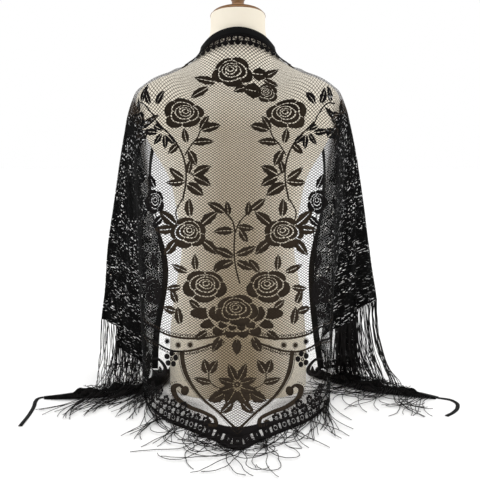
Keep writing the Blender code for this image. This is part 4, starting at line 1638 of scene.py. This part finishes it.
class SHAWL_OT_flowers(bpy.types.Operator):
    """Knit the flowers, the band, the arch and the scrolls of the lace"""

    bl_idname = "shawl.flowers"
    bl_label = "Flowers"

    def execute(self, context):
        generator = np.random.default_rng(sizes().seed)
        knitting("flowers_back", back_garden)
        for side, sign in SIDES.items():
            knitting(f"flowers_{side}", side_garden, generator, sign, finishes=["side knit"])
        return {"FINISHED"}


class SHAWL_OT_border(bpy.types.Operator):
    """Knit the heavy border along the lower edges, and the scalloped trim of the neck"""

    bl_idname = "shawl.border"
    bl_label = "Border and neck trim"

    def execute(self, context):
        generator = np.random.default_rng(sizes().seed + 1)
        knitting("border_hem", hem_border, generator)
        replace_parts(knitting("scallops_neck", neck_scallops), "neck_trim")
        for side in SIDES:
            knitting(f"border_end_{side}", self.end_border, end_cloth(side), finishes=["border knit"])
        return {"FINISHED"}

    def end_border(self, plates, cloth):
        """The border on a narrow end, which nearly fills it: closed edges, rings, and flowers."""
        low, high = cloth.across[0], cloth.across[-1]
        steps = np.linspace(low, high, 40)
        for start, end in zip(steps, steps[1:]):
            along = np.linspace(start, end, 4)
            for near, far in ((33.0, 43.4), (30.4, 31.8), (20.6, 30.4), (3.0, 6.0)):
                plates.lay(cloth, level_strip(along, near, far, 3))
        for x in np.arange(low + 6, high - 4, 12.0):
            lay_shapes(plates, cloth, [ring(2.4, 5.0, 10)], (x, 25.5), lift=0.5)
        for x in np.arange(low + 9, high - 6, 15.0):
            lay_shapes(plates, cloth, flower(8.0), (x, 13))


class SHAWL_OT_ribbons(bpy.types.Operator):
    """Lay the satin binding round the neck, down the front edges and along the floor, and its ties"""

    bl_idname = "shawl.ribbons"
    bl_label = "Ribbons and ties"

    def execute(self, context):
        strips = {side: bound_strip(side) for side in SIDES}
        halves = [[grid[:, : NECK_END + 1] for grid in strips[side]] for side in SIDES]
        neck = [np.concatenate([left[:, :0:-1], right], axis=1) for left, right in zip(*halves)]
        neck[2][:, :NECK_END, 0] *= -1
        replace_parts(ribbon("binding_neck", *neck), "ribbon_neck")
        for side, strip in strips.items():
            front = [grid[:, NECK_END:] for grid in strip]
            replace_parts(ribbon(f"binding_front_{side}", *front), f"ribbon_{side}_front")
            self.lay_end(side)
            self.lay_tie(side)
        return {"FINISHED"}

    def lay_end(self, side):
        route, toward = end_frame(side, END_STEPS)[:2]
        near, far = (route + toward * offset for offset in (-RIBBON_WIDTH / 2, RIBBON_WIDTH / 2))
        piece = floor_ribbon(f"binding_end_{side}", near, far, 1.6)
        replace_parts(piece, f"ribbon_{side}_end")

    def lay_tie(self, side):
        route = end_frame(side, END_STEPS)[0]
        ahead = unit(route[-1] - route[-2])
        tie = np.array(TIE_ROUTE[side], float) * (SIDES[side], 1)
        tie = np.concatenate([[route[-1] + ahead * 0.6, route[-1] + ahead * 3], tie])
        run = run_of(tie)
        line = smooth(run, tie, np.linspace(0, run[-1], 60))
        across = -left_of(line) * TIE_WIDTH / 2
        piece = floor_ribbon(f"tie_ribbon_{side}", line - across, line + across, 1.2)
        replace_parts(piece, f"tie_{side}")


class SHAWL_OT_fringe(bpy.types.Operator):
    """Knot the fringe along every lower edge"""

    bl_idname = "shawl.fringe"
    bl_label = "Fringe"

    def execute(self, context):
        generator = np.random.default_rng(sizes().seed + 2)
        self.hang(generator)
        self.splay_back(generator)
        self.splay_ends(generator)
        return {"FINISHED"}

    def build(self, name, paths, *nodes):
        piece = build_threads(name, paths, sizes().thread_radius / MM, finish_of("fringe thread"))
        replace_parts(piece, *nodes)

    def lengths(self, count, generator, share):
        return sizes().fringe_length / MM * share * generator.uniform(0.8, 1.08, count)

    def feet(self, sign, near, far, cloth, share, generator):
        """Where threads leave a hem, and the way that they point over the floor."""
        first, last = sorted((sign * near, sign * far))
        starts, away = hem_line(cloth, first, last, sizes().fringe_spacing / MM * share)
        starts = starts + generator.normal(0, 0.8, starts.shape) * (1, 1, 0.2)
        starts[:, 2] = np.maximum(starts[:, 2], 1.1)
        return starts, away * (1, 1, 0)

    def hang(self, generator):
        """The threads of the sides: those of the high hems end on the narrow ends, the others lie."""
        for side, sign in SIDES.items():
            fold, swing, spacing = SIDE_FRINGE[side]
            for part, near, far in (("side", fold, SIDE_END), ("front", SIDE_END, FRONT_END)):
                starts, away = self.feet(sign, near, far, CLOTH, spacing, generator)
                high = starts[:, 2] > HIGH_HEM
                paths = [self.high_threads(starts[high], side, swing, generator)]
                low = starts[~high]
                if len(low):
                    lean, share = LOW_THREADS[part]
                    heading = unit(away[~high] + (0.4 * sign, lean, 0))
                    reach = self.lengths(len(low), generator, share)
                    paths.append(lying_paths(low, heading, reach, generator, 6, 0.16, 0.7))
                self.build(f"threads_{side}_{part}", np.concatenate(paths), f"fringe_{side}_{part}")

    def high_threads(self, top, side, swing, generator):
        """Threads that hang from a high hem to the narrow end and trail along it."""
        ends = top + generator.normal(0, 1, top.shape) * (4, 5, 0)
        ends[:, 0] += swing * np.clip((np.abs(top[:, 0]) - 200) / 80, 0.1, 1)
        ends[:, 0] += clumped(len(top), generator, 5, 6)
        ends[:, 1] = strip_line(side, ends[:, 0]) + generator.normal(0, 6, len(top))
        ends[:, 2] = generator.uniform(5, 12, len(top))
        return trail(hanging_paths(top, ends, generator), side, generator)

    def splay_back(self, generator):
        """The threads of the back hem lie on the floor: loose and curly at the tip, in straight
        bunches at the sides."""
        for side, sign in SIDES.items():
            paths = []
            for near, far, spacing, share, size, turn, curl in BACK_ZONES:
                far = far or BACK_FRINGE[side]
                starts, away = self.feet(sign, near, far, CLOTH, spacing, generator)
                heading = unit(away + (0, -0.55, 0))
                reach = self.lengths(len(starts), generator, share)
                paths.append(lying_paths(starts, heading, reach, generator, size, turn, curl))
            self.build(f"threads_back_{side}", np.concatenate(paths), f"fringe_back_{side}")

    def splay_ends(self, generator):
        """The threads of the narrow ends lie on the floor beside them."""
        for side, sign in SIDES.items():
            lean, spare, curl = END_FRINGE[side]
            cloth = end_cloth(side)
            tip = np.abs(cloth.across).max() - spare
            starts, away = self.feet(sign, 60, tip, cloth, 0.72, generator)
            heading = unit(away + (lean, 0, 0))
            reach = self.lengths(len(starts), generator, 0.66)
            paths = lying_paths(starts, heading, reach, generator, 9, 0.16, curl)
            self.build(f"threads_end_{side}", paths, f"fringe_{side}_end")


class SHAWL_OT_cloth(bpy.types.Operator):
    """Keep the net and its flowers out of the way of diffuse light, so that the soft light reaches the
    form under them
    """

    bl_idname = "shawl.cloth"
    bl_label = "Cut of the cloth"

    def execute(self, context):
        # The thin net lets nearly all of the soft light through to the form under it.
        for thing in bpy.data.objects:
            if thing.name.startswith(("lace_panel", "flowers")):
                thing.visible_diffuse = False
        return {"FINISHED"}


# The soft light all round, and how it dims toward the back and, less, toward the front: direction
# from, direction to, share from, share to.
SOFT_LIGHT = 1.3
BACK_SHARE = (-0.95, -0.3, 0.34, 1.0)
FRONT_SHARE = (0.1, 0.95, 1.0, 0.7)
LAMPS = (
    # name, place, size, power in watts
    ("left light", (-1.9, -1.3, 1.7), 1.6, 5),
    ("right light", (1.9, -1.3, 1.7), 1.6, 5),
    ("top light", (0.0, -0.3, 2.3), 1.3, 5),
    ("back light", (0.0, 2.0, 1.8), 1.8, 2),
)
LAMP_AIM = (0, 0, 0.4)
LENS, SENSOR = 60.9, 36
CAMERA_PLACE = (0.0041, -1.633, 0.618)
CAMERA_TILT = 79.26  # from straight down


class SHAWL_OT_stage(bpy.types.Operator):
    """Set the table, the soft lights and the camera"""

    bl_idname = "shawl.stage"
    bl_label = "Stage"

    def execute(self, context):
        clear_selection()
        bpy.ops.mesh.primitive_plane_add(size=9, location=(0, 0, 0))
        floor = context.object
        floor.name = floor.data.name = "floor"
        finish = Finish("matt white table", tuple(context.scene.shawl_colours.floor), 0.7)
        finish.bump(finish.noise(180, 3), 0.0003, 0.15)
        floor.data.materials.append(finish.material)
        self.lights(context)
        lens = bpy.data.cameras.new("camera")
        lens.lens, lens.sensor_width = LENS, SENSOR
        camera = bpy.data.objects.new("camera", lens)
        context.scene.collection.objects.link(camera)
        camera.location = CAMERA_PLACE
        camera.rotation_euler = (math.radians(CAMERA_TILT), 0, 0)
        context.scene.camera = camera
        context.scene.view_settings.view_transform = "Standard"
        return {"FINISHED"}

    def lights(self, context):
        """Soft light all round, which the camera sees as plain white, and four large lamps."""
        world = bpy.data.worlds.new("studio")
        context.scene.world = world
        world.use_nodes = True
        nodes = Nodes(world.node_tree)
        white = (1, 1, 1, 1)
        way = nodes.node("SeparateXYZ", [nodes.node("TexCoord").outputs["Generated"]]).outputs["Y"]
        strength = nodes.math("MULTIPLY", nodes.ramp(way, *BACK_SHARE), SOFT_LIGHT)
        strength = nodes.math("MULTIPLY", nodes.ramp(way, *FRONT_SHARE), strength)
        soft = nodes.tree.nodes["Background"]
        nodes.fill(soft.inputs["Color"], white)
        nodes.fill(soft.inputs["Strength"], strength)
        backdrop = nodes.node("Background", {"Color": white, "Strength": 1.0})
        seen = nodes.node("LightPath").outputs["Is Camera Ray"]
        chosen = nodes.node("MixShader", [seen, soft.outputs[0], backdrop.outputs[0]])
        nodes.fill(nodes.tree.nodes["World Output"].inputs["Surface"], chosen.outputs[0])
        for name, place, size, power in LAMPS:
            light = bpy.data.lights.new(name, "AREA")
            light.size, light.energy = size, power
            thing = bpy.data.objects.new(name, light)
            context.scene.collection.objects.link(thing)
            thing.location = place
            thing.visible_camera = False
            aim = Vector(LAMP_AIM) - Vector(place)
            thing.rotation_euler = aim.to_track_quat("-Z", "Y").to_euler()


OPERATORS = (
    SHAWL_OT_stage,
    SHAWL_OT_form,
    SHAWL_OT_wood,
    SHAWL_OT_net,
    SHAWL_OT_flowers,
    SHAWL_OT_border,
    SHAWL_OT_ribbons,
    SHAWL_OT_fringe,
    SHAWL_OT_cloth,
)


class SHAWL_PT_panel(bpy.types.Panel):
    """The shawl's sizes, colours and pieces"""

    bl_idname = "SHAWL_PT_panel"
    bl_label = "Lace Shawl"
    bl_space_type = "VIEW_3D"
    bl_region_type = "UI"
    bl_category = "Shawl"

    def draw(self, context):
        for group in (context.scene.shawl_sizes, context.scene.shawl_colours):
            for name in group.bl_rna.properties.keys():
                if name not in ("rna_type", "name"):
                    self.layout.prop(group, name)
        for operator in OPERATORS:
            self.layout.operator(operator.bl_idname)


CLASSES = (ShawlSizes, ShawlColours, *OPERATORS, SHAWL_PT_panel)


def register():
    for part in CLASSES:
        bpy.utils.register_class(part)
    bpy.types.Scene.shawl_sizes = bpy.props.PointerProperty(type=ShawlSizes)
    bpy.types.Scene.shawl_colours = bpy.props.PointerProperty(type=ShawlColours)


def unregister():
    del bpy.types.Scene.shawl_sizes
    del bpy.types.Scene.shawl_colours
    for part in reversed(CLASSES):
        bpy.utils.unregister_class(part)


def main():
    register()
    bpy.ops.shawl.stage()
    bpy.ops.shawl.form()
    bpy.ops.shawl.wood()
    bpy.ops.shawl.net()
    bpy.ops.shawl.flowers()
    bpy.ops.shawl.border()
    bpy.ops.shawl.ribbons()
    bpy.ops.shawl.fringe()
    bpy.ops.shawl.cloth()


if __name__ == "__main__":
    main()
